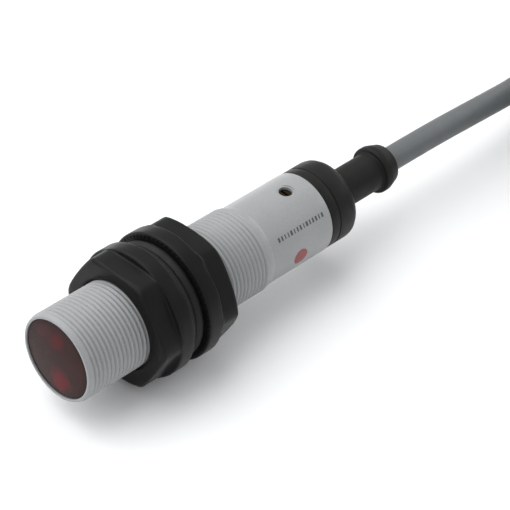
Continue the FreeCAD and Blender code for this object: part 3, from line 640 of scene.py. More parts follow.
class Finish:
    """A material being put together on one Principled shader."""

    def __init__(self, name, **constants):
        self.material = bpy.data.materials.new(name)
        self.material.use_nodes = True
        self.tree = self.material.node_tree
        self.shader = next(n for n in self.tree.nodes if n.type == "BSDF_PRINCIPLED")
        for key, value in constants.items():
            self.shader.inputs[key.replace("_", " ")].default_value = value
        self.place = self.tree.nodes.new("ShaderNodeTexCoord").outputs["Object"]

    def put(self, kind, named=None, output=0, **settings):
        node = self.tree.nodes.new(kind)
        for key, value in settings.items():
            setattr(node, key, value)
        for key, value in (named or {}).items():
            socket = node.inputs[key]
            if isinstance(value, bpy.types.NodeSocket):
                self.tree.links.new(value, socket)
            else:
                socket.default_value = value
        return node.outputs[output]

    def noise(self, scale, detail=3.0, roughness=0.55, place=None, stretch=None):
        place = place or self.place
        if stretch:
            place = self.put("ShaderNodeMapping", {"Vector": place, "Scale": stretch})
        return self.put(
            "ShaderNodeTexNoise",
            {"Vector": place, "Scale": scale, "Detail": detail, "Roughness": roughness},
        )

    def between(self, value, low, high, start=0.3, end=0.7):
        return self.put(
            "ShaderNodeMapRange",
            {"Value": value, "From Min": start, "From Max": end, "To Min": low, "To Max": high},
        )

    def tones(self, value, *stops):
        """A colour ramp through (position, colour) stops."""
        node = self.put("ShaderNodeValToRGB", {"Fac": value}).node
        ramp = node.color_ramp
        while len(ramp.elements) < len(stops):
            ramp.elements.new(0.5)
        for element, (position, tone) in zip(ramp.elements, stops):
            element.position = position
            element.color = (*tone, 1.0)
        return node.outputs["Color"]

    def mix(self, factor, a, b, kind="MIX"):
        node = self.tree.nodes.new("ShaderNodeMix")
        node.data_type = "RGBA"
        node.blend_type = kind
        for socket, value in ((node.inputs[0], factor), (node.inputs[6], a), (node.inputs[7], b)):
            if isinstance(value, bpy.types.NodeSocket):
                self.tree.links.new(value, socket)
            else:
                socket.default_value = value if isinstance(value, float) else (*value, 1.0)
        return node.outputs[2]

    def radius(self):
        """Distance from the sensor's axis."""
        flat = self.put(
            "ShaderNodeMapping",
            {"Vector": self.place, "Location": (0.0, 0.0, -AXIS), "Scale": (1.0, 0.0, 1.0)},
        )
        return self.put("ShaderNodeVectorMath", {"Vector": flat}, output="Value", operation="LENGTH")

    def set(self, **links):
        for key, value in links.items():
            self.tree.links.new(value, self.shader.inputs[key.replace("_", " ")])
        return self

    def relief(self, height, distance, strength=0.5):
        bump = self.put("ShaderNodeBump", {"Height": height, "Distance": distance, "Strength": strength})
        self.tree.links.new(bump, self.shader.inputs["Normal"])
        return self


def shaded(tone, amount):
    return tuple(min(1.0, part * amount) for part in tone)


def moulded(name, tone, rough=0.45, spread=0.10, grain=9000.0, depth=0.00001, **constants):
    """Moulded plastic or rubber: uneven tone, a fine sprayed grain and slightly uneven gloss."""
    made = Finish(name, **constants)
    cloud = made.noise(180.0, 4.0)
    fine = made.noise(grain, 2.0)
    made.set(
        Base_Color=made.tones(cloud, (0.30, shaded(tone, 1 - spread)), (0.70, shaded(tone, 1 + spread))),
        Roughness=made.between(made.noise(420.0, 5.0), rough - 0.05, rough + 0.07),
    )
    return made.relief(fine, depth, 0.45).material


def housing_finish(tone):
    """Light grey plastic, a little darker and duller down in the thread's grooves, where the darkening is
    painted shade.
    """
    made = Finish("light_grey_plastic_finish", IOR=1.49)
    thread = bpy.context.scene.sensor_thread
    thread_end = FRONT + bpy.context.scene.sensor_housing.thread_end
    cloud = made.tones(made.noise(90.0, 4.0), (0.3, shaded(tone, 0.955)), (0.7, shaded(tone, 1.035)))
    groove = made.between(made.radius(), 0.0, 1.0, thread.radius - thread.depth, thread.radius - 0.1 * MM)
    in_thread = made.put(
        "ShaderNodeMapRange",
        {
            "Value": made.put("ShaderNodeSeparateXYZ", {"Vector": made.place}, output=1),
            "From Min": thread_end + 0.6 * MM,
            "From Max": thread_end - 0.4 * MM,
            "To Min": 1.0,
            "To Max": 0.0,
        },
    )
    # Painted shade: the colour is multiplied down to 0.93 by depth below the ridges, down in the thread's
    # grooves; the ridges and the plain barrel keep their tone.
    clear = made.put("ShaderNodeMath", {0: groove, 1: in_thread}, operation="MAXIMUM")
    dark = made.mix(clear, (0.93, 0.93, 0.94), (1.0, 1.0, 1.0))
    specks = made.tones(made.noise(2600.0, 2.0), (0.30, (0.93, 0.93, 0.93)), (0.55, (1.0, 1.0, 1.0)))
    base = made.mix(1.0, cloud, dark, "MULTIPLY")
    rough = made.between(made.noise(300.0, 3.0), 0.42, 0.48)
    glossier = made.between(in_thread, 0.0, 0.10, 0.0, 1.0)
    made.set(
        Base_Color=made.mix(1.0, base, specks, "MULTIPLY"),
        Roughness=made.put("ShaderNodeMath", {0: rough, 1: glossier}, operation="SUBTRACT"),
    )
    return made.relief(made.noise(7000.0, 3.0), 0.000010, 0.3).material


def jacket_finish(tone):
    """Extruded grey jacket: matt, with faint handling marks along it."""
    made = Finish("grey_jacket_finish", IOR=1.5)
    cloud = made.tones(made.noise(60.0, 5.0), (0.3, shaded(tone, 0.93)), (0.7, shaded(tone, 1.06)))
    scuffs = made.tones(made.noise(900.0, 6.0), (0.25, (0.88, 0.88, 0.88)), (0.42, (1.0, 1.0, 1.0)))
    made.set(
        Base_Color=made.mix(1.0, cloud, scuffs, "MULTIPLY"),
        Roughness=made.between(made.noise(300.0, 4.0), 0.42, 0.60),
    )
    return made.relief(made.noise(5200.0, 3.0), 0.000015, 0.4).material


# How far the glows' edges stray, and where the window starts to darken and is darkest, from the axis.
STRAY = 3.5 * MM
DARK_FROM, DARKEST = 6.6 * MM, 8.1 * MM
# Place across and up from the axis, reach and colour of each red glow painted into the window's colour over a
# channel behind it.
PAINTED_GLOWS = [
    ((-0.0044, 0.0043), 0.0030, (0.040, 0.009, 0.011)),
    ((-0.0005, 0.0042), 0.0027, (0.062, 0.006, 0.009)),
    ((0.0011, -0.0046), 0.0036, (0.090, 0.005, 0.009)),
]


def window_finish(tone):
    """Smoked red window: dark and glossy, with red glows painted into its colour where the two optical
    channels show through it.
    """
    made = Finish("window_tint_finish", IOR=1.5, Specular_IOR_Level=0.09)
    base = made.tones(made.noise(130.0, 4.0), (0.3, shaded(tone, 0.82)), (0.7, shaded(tone, 1.2)))
    torn = made.put("ShaderNodeTexNoise", {"Vector": made.place, "Scale": 420.0, "Detail": 4.0}, output=1)
    shift = made.put("ShaderNodeVectorMath", {0: torn, 1: (0.5, 0.5, 0.5)}, operation="SUBTRACT")
    strayed = made.put(
        "ShaderNodeVectorMath", {0: shift, 1: (STRAY, 0.0, STRAY), 2: made.place}, operation="MULTIPLY_ADD"
    )
    # Each painted glow mixes red into the window's own colour; no light comes through.
    for place, size, glow in PAINTED_GLOWS:
        flat = made.put("ShaderNodeVectorMath", {0: strayed, 1: (1.0, 0.0, 1.0)}, operation="MULTIPLY")
        far = made.put(
            "ShaderNodeVectorMath",
            {0: flat, 1: (place[0], 0.0, AXIS + place[1])},
            output="Value",
            operation="DISTANCE",
        )
        fade = made.put(
            "ShaderNodeMapRange",
            {"Value": far, "From Min": size * 0.25, "From Max": size, "To Min": 1.0, "To Max": 0.0},
            interpolation_type="SMOOTHSTEP",
        )
        base = made.mix(fade, base, glow)
    edge = made.between(made.radius(), 1.0, 0.55, DARK_FROM, DARKEST)
    rim = made.put("ShaderNodeCombineColor", {"Red": edge, "Green": edge, "Blue": edge})
    made.set(
        Base_Color=made.mix(1.0, base, rim, "MULTIPLY"),
        Roughness=made.between(made.noise(240.0, 4.0), 0.16, 0.28),
    )
    return made.material


def metal(name, tone, rough=0.3, scratch=(1.0, 30.0, 1.0), depth=0.000006):
    made = Finish(name, Metallic=1.0)
    lines = made.noise(1500.0, 5.0, stretch=scratch)
    made.set(
        Base_Color=made.tones(made.noise(700.0, 4.0), (0.3, shaded(tone, 0.82)), (0.7, shaded(tone, 1.05))),
        Roughness=made.between(lines, rough - 0.08, rough + 0.12),
    )
    return made.relief(lines, depth, 0.4).material


def board_finish(name):
    """Green solder mask over copper tracks, with a dull grain."""
    made = Finish(name, IOR=1.5, Coat_Weight=0.3, Coat_Roughness=0.15)
    tracks = made.put(
        "ShaderNodeTexBrick",
        {
            "Vector": made.place,
            "Scale": 520.0,
            "Color1": (0.010, 0.105, 0.045, 1.0),
            "Color2": (0.014, 0.130, 0.055, 1.0),
            "Mortar": (0.030, 0.190, 0.075, 1.0),
            "Mortar Size": 0.05,
        },
    )
    made.set(
        Base_Color=made.mix(made.between(made.noise(800.0), 0.0, 0.35), tracks, (0.008, 0.080, 0.035)),
        Roughness=made.between(made.noise(1500.0), 0.28, 0.42),
    )
    return made.relief(tracks, 0.00002, 0.4).material


def lens_finish(name):
    """Clear red-lit lens."""
    made = Finish(name, IOR=1.5, Emission_Strength=0.12, Coat_Weight=0.5, Coat_Roughness=0.03)
    glow = made.tones(made.noise(420.0, 3.0), (0.3, (0.42, 0.012, 0.020)), (0.7, (0.72, 0.030, 0.045)))
    made.set(Base_Color=glow, Emission_Color=glow, Roughness=made.between(made.noise(900.0), 0.06, 0.14))
    return made.material


# ------------------------------------------------------------------ stage and cord


# Name, place, width, height and power setting of each softbox, the point they face, and the floor's reach.
SOFTBOXES = [
    ("softbox_above", (-0.34, -0.12, 0.56), 0.90, 0.90, "key_power"),
    ("softbox_front", (-0.16, -0.62, 0.38), 0.40, 0.30, "fill_power"),
    ("strip_behind", (0.05, 0.55, 0.30), 0.60, 0.12, "rim_power"),
]
LIT_POINT = Vector((0.0, 0.01, AXIS))
FLOOR_REACH = 1.6


class SENSOR_OT_stage(bpy.types.Operator):
    """Makes the floor, the studio light and the camera"""

    bl_idname = "sensor.stage"
    bl_label = "Stage"

    def execute(self, context):
        sizes = context.scene.sensor_stage
        lens = bpy.data.cameras.new("camera")
        lens.lens = sizes.focal_length
        lens.sensor_width = 36.0
        lens.clip_start = 0.01
        lens.clip_end = 10.0
        camera = link("camera", lens)
        camera.location = sizes.camera_place
        camera.rotation_euler = Euler(sizes.camera_turn)
        context.scene.camera = camera

        world = bpy.data.worlds.new("studio")
        world.use_nodes = True
        sky = world.node_tree.nodes["Background"]
        sky.inputs["Color"].default_value = (0.97, 0.985, 1.0, 1.0)
        sky.inputs["Strength"].default_value = sizes.sky
        context.scene.world = world
        context.scene.view_settings.view_transform = "Standard"

        for name, place, width, height, power in SOFTBOXES:
            light = bpy.data.lights.new(name, "AREA")
            light.shape = "RECTANGLE"
            light.size = width
            light.size_y = height
            light.energy = getattr(sizes, power)
            lamp = link(name, light)
            lamp.location = place
            lamp.rotation_euler = (LIT_POINT - Vector(place)).to_track_quat("-Z", "Y").to_euler()

        mesh = bpy.data.meshes.new("floor")
        corners = [(x * FLOOR_REACH, y * FLOOR_REACH, 0.0) for x, y in ((-1, -1), (1, -1), (1, 1), (-1, 1))]
        mesh.from_pydata(corners, [], [(0, 1, 2, 3)])
        floor = link("floor", mesh)
        made = Finish("floor_finish", Specular_IOR_Level=0.2)
        tone = tuple(context.scene.sensor_colours.floor)
        made.set(
            Base_Color=made.tones(made.noise(3.0), (0.3, shaded(tone, 0.99)), (0.7, tone)),
            Roughness=made.between(made.noise(12.0), 0.7, 0.85),
        )
        set_material(floor, made.material)
        return {"FINISHED"}




# The lead's own route, from the strain relief to the hank, in metres.
CABLE_ROUTE = [
    (0.0, 0.0444, 0.0133),
    (0.0, 0.0580, 0.0133),
    (0.0001, 0.0740, 0.0126),
    (0.00015, 0.0900, 0.0119),
    (-0.0020, 0.1020, 0.0127),
    (-0.0030, 0.1106, 0.0135),
]
# Layer and column of each turn, in winding order; column 1 is the outer one.
HANK_SLOTS = [(3, 1), (2, 1), (1, 1), (1, 0), (2, 0), (3, 0), (4, 0), (4, 1), (5, 1), (5, 0)]
# Where each turn moves to the next slot, in revolutions from the left run's near end.
SLOT_CHANGES = [0.86, 1.86, 2.84, 3.82, 4.82, 5.82, 6.80, 7.78, 8.76]
CHANGE_SPREAD = 0.12
RUN_POINTS = 3
FOLD_POINTS = 5
HANK_REVOLUTIONS = 9.5


def hank_points(sizes):
    """Control points of the wound turns: straight runs joined by round folds."""
    d = sizes.diameter
    near = RELIEF_BOX[1].y + sizes.fold_gap
    far = near + sizes.run
    mean = sizes.inner_fold + d / 2
    around_one = 2 * sizes.run + FULL_TURN * mean
    half_step = math.pi / FOLD_POINTS / 2
    marks = []
    for side in (0, 1):
        base = side * 0.5
        for k in range(RUN_POINTS):
            t = k / (RUN_POINTS - 1)
            marks.append((base + t * sizes.run / around_one, "run", side, t))
        for k in range(FOLD_POINTS):
            turn = (2 * k + 1) * half_step
            spent = sizes.run + turn * mean
            marks.append((base + spent / around_one, "fold", side, turn))
    points = []
    whole = 0
    while True:
        for share_round, kind, side, t in marks:
            q = whole + share_round
            if q > HANK_REVOLUTIONS + JOIN_GAP:
                return points
            slot = sum(1 for change in SLOT_CHANGES if q > change + CHANGE_SPREAD / 2)
            layer, column = HANK_SLOTS[slot]
            if slot < len(SLOT_CHANGES):
                move = (q - SLOT_CHANGES[slot]) / CHANGE_SPREAD + 0.5
                move = min(max(move, 0.0), 1.0)
                move = move * move * (3 - 2 * move)
                next_layer, next_column = HANK_SLOTS[slot + 1]
                layer += (next_layer - layer) * move
                column += (next_column - column) * move
            reach = sizes.inner_fold + column * d
            z = sizes.lift + (layer - 0.5) * d
            sign = -1 if side == 0 else 1
            if kind == "run":
                x = sizes.middle + sign * reach
                y = near + t * sizes.run if side == 0 else far - t * sizes.run
            else:
                wide = reach / math.cos(half_step)
                x = sizes.middle + sign * wide * math.cos(t)
                y = far + wide * math.sin(t) if side == 0 else near - wide * math.sin(t)
            points.append((x, y, z))
        whole += 1


def strand_tree(sizes):
    """A twisted bundle of tinned strands at each point of the mesh, pointing along -Y."""
    tree = Tree(
        "twisted_strands",
        {
            "Strands": sizes.strand_count,
            "Strand Radius": sizes.strand_radius,
            "Bundle Radius": sizes.strand_radius * 2.0,
            "Length": TIPS_BOX[1].y - TIPS_BOX[0].y,
            "Twist": sizes.strand_turns * FULL_TURN,
        },
    )
    line = tree.put("GeometryNodeCurvePrimitiveLine", (0.0, 0.0, 0.0), (0.0, -1.0, 0.0))
    fine = tree.put("GeometryNodeResampleCurve", line, named={"Count": 22})
    _, y, _ = tree.split(tree.put("GeometryNodeInputPosition"))
    along = tree.times(y, tree["Length"])
    turn = tree.times(y, tree["Twist"])
    across = tree.times(tree.math("SINE", turn), tree["Bundle Radius"])
    up = tree.times(tree.math("COSINE", turn), tree["Bundle Radius"])
    helix = tree.set_place(fine, tree.vector(across, along, up))
    straight = tree.set_place(fine, tree.vector(0.0, along, 0.0))
    ring = tree.put("GeometryNodeCurvePrimitiveCircle", 8, named={"Radius": tree["Strand Radius"]})
    strand, core = (tree.put("GeometryNodeCurveToMesh", path, ring, True) for path in (helix, straight))
    points = tree.put("GeometryNodePoints", tree["Strands"])
    index = tree.put("GeometryNodeInputIndex")
    step = tree.math("DIVIDE", tree.times(index, FULL_TURN), tree["Strands"])
    rotation = tree.vector(0.0, step, 0.0)
    wound = tree.put("GeometryNodeInstanceOnPoints", points, named={"Instance": strand, "Rotation": rotation})
    bundle = tree.join(wound, core)
    return tree.end(tree.put("GeometryNodeInstanceOnPoints", tree["Geometry"], named={"Instance": bundle}))


def rounded_frame(low_x, high_x, low_z, high_z, corner, steps=5):
    """Points around a rectangle with round corners, in the plane across the sensor."""
    points = []
    for i, (x, z) in enumerate(
        (
            (high_x - corner, high_z - corner),
            (low_x + corner, high_z - corner),
            (low_x + corner, low_z + corner),
            (high_x - corner, low_z + corner),
        )
    ):
        for k in range(steps + 1):
            turn = (i + k / steps) * FULL_TURN / 4
            points.append((x + corner * math.cos(turn), z + corner * math.sin(turn)))
    return points


def tie_tree(sizes, width):
    """Ratchet ribs at even steps along a closed curve."""
    tree = Tree(
        "tie_ribs",
        {
            "Ribs": sizes.rib_count,
            "Rib Width": sizes.rib_share * width,
            "Rib Height": sizes.rib_height,
            "Rib Length": sizes.rib_length,
        },
    )
    edge_line = tree.put("GeometryNodeMeshToCurve", tree["Geometry"])
    even = tree.put("GeometryNodeResampleCurve", edge_line, named={"Count": tree["Ribs"]})
    block = tree.vector(tree["Rib Width"], tree["Rib Height"], tree["Rib Length"])
    rib = tree.put("GeometryNodeMeshCube", block, 2, 2, 2)
    tangent = tree.put("GeometryNodeInputTangent")
    align = "FunctionNodeAlignRotationToVector"
    turn = tree.put(align, None, None, tangent, axis="Z")
    rotation = tree.put(align, turn, None, (0.0, 1.0, 0.0), axis="X", pivot_axis="Z")
    ribs = tree.put("GeometryNodeInstanceOnPoints", even, named={"Instance": rib, "Rotation": rotation})
    return tree.end(ribs)


class SENSOR_OT_cord(bpy.types.Operator):
    """Makes the lead with its hank, ties, cores and tinned ends"""

    bl_idname = "sensor.cord"
    bl_label = "Lead"

    def tie(self, name, low_x, high_x, inwards, sizes, material):
        """A ribbed strap around one run of the hank, with its locking head in the hank's opening."""
        low_y, high_y = TIE_BOX[0].y, TIE_BOX[1].y
        low_z, high_z = TIE_BOX[0].z, TIE_BOX[1].z

        def frame_at(inset):
            corner = sizes.corner - inset
            return rounded_frame(low_x + inset, high_x - inset, low_z + inset, high_z - inset, corner)

        slight = 0.3 * sizes.edge
        section = (
            (0.0, low_y + sizes.edge),
            (0.0, high_y - sizes.edge),
            (slight, high_y - slight),
            (sizes.edge, high_y),
            (sizes.strap, high_y),
            (sizes.strap, low_y),
            (sizes.edge, low_y),
            (slight, low_y + slight),
        )
        rings = [[Vector((x, y, z)) for x, z in frame_at(inset + sizes.sunk)] for inset, y in section]
        strap = link(name, settled(loft(name, rings, closed=True)))

        path = bpy.data.meshes.new(name + "_path")
        line = frame_at(sizes.rib_inset)
        middle = (low_y + high_y) / 2
        edges = [(i, (i + 1) % len(line)) for i in range(len(line))]
        path.from_pydata([(x, middle, z) for x, z in line], edges, [])
        ribs = tie_tree(sizes, high_y - low_y).run(link(name + "_ribs", path), material)

        side = high_x if inwards > 0 else low_x
        head_x = sorted((side - inwards * 0.6 * sizes.strap, side + inwards * sizes.head_reach))
        head = box_shape(
            name + "_head",
            (head_x[0], low_y - sizes.head_side, sizes.head_low),
            (head_x[1], high_y + sizes.head_side, sizes.head_high),
            sizes.edge,
        )
        tail_x = side + inwards * sizes.tail_reach
        tail = box_shape(
            name + "_tail",
            (tail_x - sizes.tail_half, low_y + sizes.tail_inset, sizes.tail_low),
            (tail_x + sizes.tail_half, high_y - sizes.tail_inset, sizes.tail_high),
            sizes.tail_edge,
        )
        return joined(strap, ribs, head, tail)

    def execute(self, context):
        sizes = context.scene.sensor_cord
        tones = context.scene.sensor_colours
        points = CABLE_ROUTE + hank_points(sizes)[1:]
        data = bpy.data.curves.new("free_cable", "CURVE")
        data.dimensions = "3D"
        spline = data.splines.new("NURBS")
        spline.points.add(len(points) - 1)
        for point, place in zip(spline.points, points):
            point.co = (*place, 1.0)
        spline.order_u = 3
        spline.use_endpoint_u = True
        data.bevel_depth = sizes.diameter / 2
        data.bevel_resolution = 6
        data.resolution_u = 6
        data.use_fill_caps = True
        jacket = jacket_finish(tuple(tones.jacket))
        cable = add_piece("free_cable", data, jacket, BODY, "grey_jacket", "cable", "cable_hank")

        black = moulded("tie_finish", (0.016, 0.016, 0.017), 0.36, grain=6000.0)
        tie = context.scene.sensor_tie
        left, right = TIE_BOX[0].x, TIE_BOX[1].x
        ties = joined(
            self.tie("ties", left, left + tie.grip, 1, tie, black),
            self.tie("tie_right", right - tie.grip, right, -1, tie, black),
        )
        ties.name = "cable_ties"
        dress(ties, black, BODY, "black_plastic", "hank_ties")

        tones_by_lead = {
            "brown_lead": (0.135, 0.052, 0.022),
            "white_lead": (0.72, 0.71, 0.68),
            "blue_lead": (0.022, 0.085, 0.33),
            "black_lead": (0.018, 0.018, 0.019),
        }
        starts = []
        for node, tone in tones_by_lead.items():
            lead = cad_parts[node]
            set_material(lead, moulded(node + "_finish", tone, 0.40, grain=5000.0))
            starts.append(lead_end(lead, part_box(node)[0].y))
        spots = bpy.data.meshes.new("lead_ends")
        spots.from_pydata(starts, [], [])
        tin = metal("tinned_copper_finish", (0.74, 0.72, 0.69), 0.28, (30.0, 1.0, 30.0))
        tips = strand_tree(sizes).run(link("stranded_tips", spots), tin)
        settled(tips.data)
        dress(tips, tin, BODY, "tinned_copper", "lead_tips")

        return {"FINISHED"}


def lead_end(lead, end_y):
    """Middle of a lead's end face."""
    close = [v.co for v in lead.data.vertices if abs(v.co.y - end_y) < 0.02 * MM]
    low = Vector(min(p[i] for p in close) for i in range(3))
    high = Vector(max(p[i] for p in close) for i in range(3))
    return (low + high) / 2


def box_shape(name, low, high, edge):
    """A block with rounded edges."""
    mesh = bpy.data.meshes.new(name)
    with edited(mesh) as work:
        bmesh.ops.create_cube(work, size=1.0)
        for v in work.verts:
            v.co = Vector((low[i] + high[i]) / 2 + v.co[i] * (high[i] - low[i]) for i in range(3))
        geometry = work.edges[:] + work.verts[:]
        bmesh.ops.bevel(work, geom=geometry, offset=edge, segments=3, profile=0.5, affect="EDGES")
    smooth(mesh)
    return link(name, mesh)


def joined(*things):
    """One object out of several, named after the first."""
    name = things[0].name
    mesh = bpy.data.meshes.new(name)
    with edited(mesh) as work:
        for thing in things:
            work.from_mesh(thing.data)
    smooth(mesh)
    for thing in things:
        remove(thing)
    return link(name, mesh)


# ------------------------------------------------------------------ housing and window


class SENSOR_OT_housing(bpy.types.Operator):
    """Makes the threaded housing with its trimmer hole"""

    bl_idname = "sensor.housing"
    bl_label = "Housing"

    def execute(self, context):
        h = context.scene.sensor_housing
        r = context.scene.sensor_thread.radius
        near_hole = [(h.hole_station + k * h.ring_step, h.barrel_radius, 0.0) for k in range(-6, 7)]
        corners = [
            (h.thread_end, r, 0.0),
            (h.thread_end + h.runout, h.barrel_radius, 0.5),
            *near_hole,
            (h.barrel_end, h.barrel_radius, 0.18),
            (h.barrel_end, h.bore_radius, 0.15),
            (h.pocket_depth, h.bore_radius, 0.08),
            (h.pocket_depth, h.pocket_radius, 0.0),
            (0.0, h.pocket_radius, 0.10),
            (0.0, h.rim_radius, 0.22),
            (h.rim_length, r, 0.0),
        ]
        shell = link("housing_shell", turned("housing_shell", corners))
        spot = h.barrel_radius - h.spot_depth
        inside, outside = 2.0 * MM, h.barrel_radius + 2.0 * MM
        pin = [
            (inside, 0.0),
            (inside, h.hole_radius),
            (spot, h.hole_radius),
            (spot, h.spot_radius),
            (outside, h.spot_radius),
            (outside, 0.0),
        ]
        cutter = link("hole_cutter", upright_pin(h.hole_station, pin))
        cut = shell.modifiers.new("trimmer_hole", "BOOLEAN")
        cut.object = cutter
        cut.operation = "DIFFERENCE"
        cut.solver = "EXACT"
        made_plain(shell)
        remove(cutter)
        open_span(shell.data, h.rim_length, h.thread_end, r)
        finish = housing_finish(tuple(context.scene.sensor_colours.housing))
        thread_tree("housing_thread", h.rim_length, h.thread_end, 0.0).run(shell, finish)
        settled(shell.data)
        dress(shell, finish, BODY, "light_grey_plastic", "housing")
        return {"FINISHED"}


def open_span(mesh, first, last, radius):
    """Takes out the plain faces between two rings of one radius, where a thread will go."""
    with edited(mesh) as work:
        gone = []
        for face in work.faces:
            x, y, z = face.calc_center_median()
            inside_span = first + JOIN_GAP < y - FRONT < last - JOIN_GAP
            if inside_span and math.hypot(x, z - AXIS) > radius - 0.05 * MM:
                gone.append(face)
        bmesh.ops.delete(work, geom=gone, context="FACES")


def upright_pin(along, outline, segments=48):
    """A solid of revolution about an upright line above the sensor's axis."""
    rings = []
    for height, radius in outline:
        turns = [FULL_TURN * i / segments for i in range(segments if radius > JOIN_GAP else 1)]
        middle = Vector((0.0, FRONT + along, AXIS + height))
        rings.append([middle + radius * Vector((math.cos(a), math.sin(a), 0.0)) for a in turns])
    return settled(loft("pin", rings))


class SENSOR_OT_window(bpy.types.Operator):
    """Makes the smoked front window and finishes the optics behind it"""

    bl_idname = "sensor.window"
    bl_label = "Window and optics"

    def execute(self, context):
        low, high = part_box("front_window")
        front, back = low.y - FRONT, high.y - FRONT
        radius = high.x
        housing = context.scene.sensor_housing
        seat = housing.pocket_depth
        spigot = housing.bore_radius - housing.slip
        corners = [
            (front, 0.0, 0.0),
            (front, radius, 0.18),
            (seat, radius, 0.05),
            (seat, spigot, 0.0),
            (back, spigot, 0.10),
            (back, 0.0, 0.0),
        ]
        finish = window_finish(tuple(context.scene.sensor_colours.window))
        mesh = turned("window", corners, closed=False)
        add_piece("window", mesh, finish, BODY, "window_tint", "front_window")
        finish_nodes(
            {
                "optics_carrier": moulded("carrier_finish", (0.012, 0.011, 0.011), 0.5),
                "emitter_lens": lens_finish("emitter_lens_finish"),
                "receiver_lens": lens_finish("receiver_lens_finish"),
                "emitter_diode": moulded("emitter_epoxy_finish", (0.55, 0.05, 0.05), 0.18),
                "receiver_diode": moulded("receiver_epoxy_finish", (0.020, 0.016, 0.030), 0.15),
                "channel_shield": metal("shield_foil_finish", (0.70, 0.70, 0.71), 0.25),
                "window_gasket": moulded("gasket_finish", (0.016, 0.016, 0.016), 0.62),
            }
        )
        return {"FINISHED"}


# ------------------------------------------------------------------ nuts and washers


def soft_least(a, b, soft):
    """The smaller of two radii, with a rounded change between them."""
    blend = max(soft - abs(a - b), 0.0) / soft
    return min(a, b) - blend * blend * soft / 4


def quarter_turn(steps=4):
    """Shares of an edge's rounding over a quarter turn: risen along it, and still to fall across it."""
    angles = [math.pi / 2 * k / steps for k in range(steps + 1)]
    return [(1 - math.cos(a), 1 - math.sin(a)) for a in angles]


class SENSOR_OT_nuts(bpy.types.Operator):
    """Makes the two flanged nuts and their washers"""

    bl_idname = "sensor.nuts"
    bl_label = "Nuts and washers"

    def body_rings(self, face, towards, corner, nut, bore):
        """Rings of a nut from its bore, over its hexagon and its flange, and back to its bore."""
        soft, edge, root, bead = nut.soft_edge, nut.flange_edge, nut.root, nut.bore_edge
        inner = bore + nut.bore_bevel
        flange = nut.flange_radius
        start = nut.hexagon_length
        whole = start + nut.flange_length

        def outer(t, turn):
            sixth = FULL_TURN / 6
            from_flat = (turn - corner) % sixth - sixth / 2
            hexagon = nut.across_flats / 2 / math.cos(from_flat)
            bevelled = nut.bevel_radius + (flange - nut.bevel_radius) * t / nut.bevel_length
            return soft_least(min(bevelled, flange), hexagon, nut.corner_blend)

        def full(turn):
            return outer(whole, turn)

        rows = [
            (nut.bore_bevel, lambda turn: bore),
            (bead, lambda turn: inner - bead),
            (0.0, lambda turn: inner + bead),
        ]
        for part in (0.33, 0.67):
            rows.append((0.0, lambda turn, part=part: inner + (outer(0.0, turn) - soft - inner) * part))
        for risen, left in quarter_turn():
            t = soft * risen
            rows.append((t, lambda turn, t=t, left=left: outer(t, turn) - soft * left))
        for part in (0.10, 0.15, 0.20, 0.30, 0.45, 0.60, 0.75, 0.88):
            rows.append((start * part, lambda turn, t=start * part: outer(t, turn)))
        for risen, left in quarter_turn()[1:]:
            t = start - root * left
            rows.append((t, lambda turn, risen=risen: min(full(turn) + root * risen, flange)))
        for risen, left in quarter_turn():
            rows.append(
                (
                    start + edge * risen,
                    lambda turn, left=left: max(flange - edge * left, min(full(turn) + root, flange)),
                )
            )
        for part in (0.35, 0.65):
            rows.append((start + nut.flange_length * part, lambda turn: flange))
        for risen, left in reversed(quarter_turn()):
            rows.append((whole - edge * risen, lambda turn, left=left: flange - edge * left))
        rows += [
            (whole, lambda turn: flange - 2 * edge),
            (whole, lambda turn: (flange + inner) / 2),
            (whole, lambda turn: inner + bead),
            (whole - bead, lambda turn: inner - bead),
            (whole - nut.bore_bevel, lambda turn: bore),
        ]
        turns = [FULL_TURN * i / AROUND for i in range(AROUND)]
        return [[around(face + towards * t, radius(turn), turn) for turn in turns] for t, radius in rows]

    def nut(self, name, towards, corner, context, finish):
        nut = context.scene.sensor_nut
        thread = context.scene.sensor_thread
        low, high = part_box(name)
        face = (low.y if towards > 0 else high.y) - FRONT
        seat = face + towards * (nut.hexagon_length + nut.flange_length)
        bore = thread.radius + thread.nut_gap
        body = link(name + "_hexagon", loft(name, self.body_rings(face, towards, corner, nut, bore)))
        ends = sorted((face + towards * nut.bore_bevel, seat - towards * nut.bore_bevel))
        thread_tree(name + "_thread", *ends, thread.nut_gap).run(body, finish)
        settled(body.data)
        tooth_tree(name + "_teeth", seat, float(towards)).run(body, finish)
        smooth(body.data)
        with edited(body.data) as work:
            bmesh.ops.recalc_face_normals(work, faces=work.faces)
        dress(body, finish, name, "nut_plastic", name)

    def execute(self, context):
        tone = tuple(context.scene.sensor_colours.nut)
        finish = moulded("nut_plastic_finish", tone, 0.34, 0.12, 7000.0, 0.000010, Specular_IOR_Level=0.12)
        nut = context.scene.sensor_nut
        self.nut("front_nut", 1, nut.front_corner, context, finish)
        self.nut("rear_nut", -1, nut.rear_corner, context, finish)
        rubber = moulded("washer_finish", (0.009, 0.009, 0.009), 0.62, 0.15, 8000.0, Specular_IOR_Level=0.3)
        inner = context.scene.sensor_thread.radius + nut.washer_gap
        for name in ("front_washer", "rear_washer"):
            low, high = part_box(name)
            first, last = low.y - FRONT, high.y - FRONT
            outside = high.x
            third = 0.35 * (last - first)
            corners = [
                (first, outside - nut.washer_slope, 0.1),
                (first + third, outside, 0.35),
                (last - third, outside, 0.35),
                (last, outside - nut.washer_slope, 0.1),
                (last, inner, 0.15),
                (first, inner, 0.15),
            ]
            add_piece(name + "_ring", turned(name + "_ring", corners), rubber, name, "black_rubber", name)
        return {"FINISHED"}


# ------------------------------------------------------------------ rear end


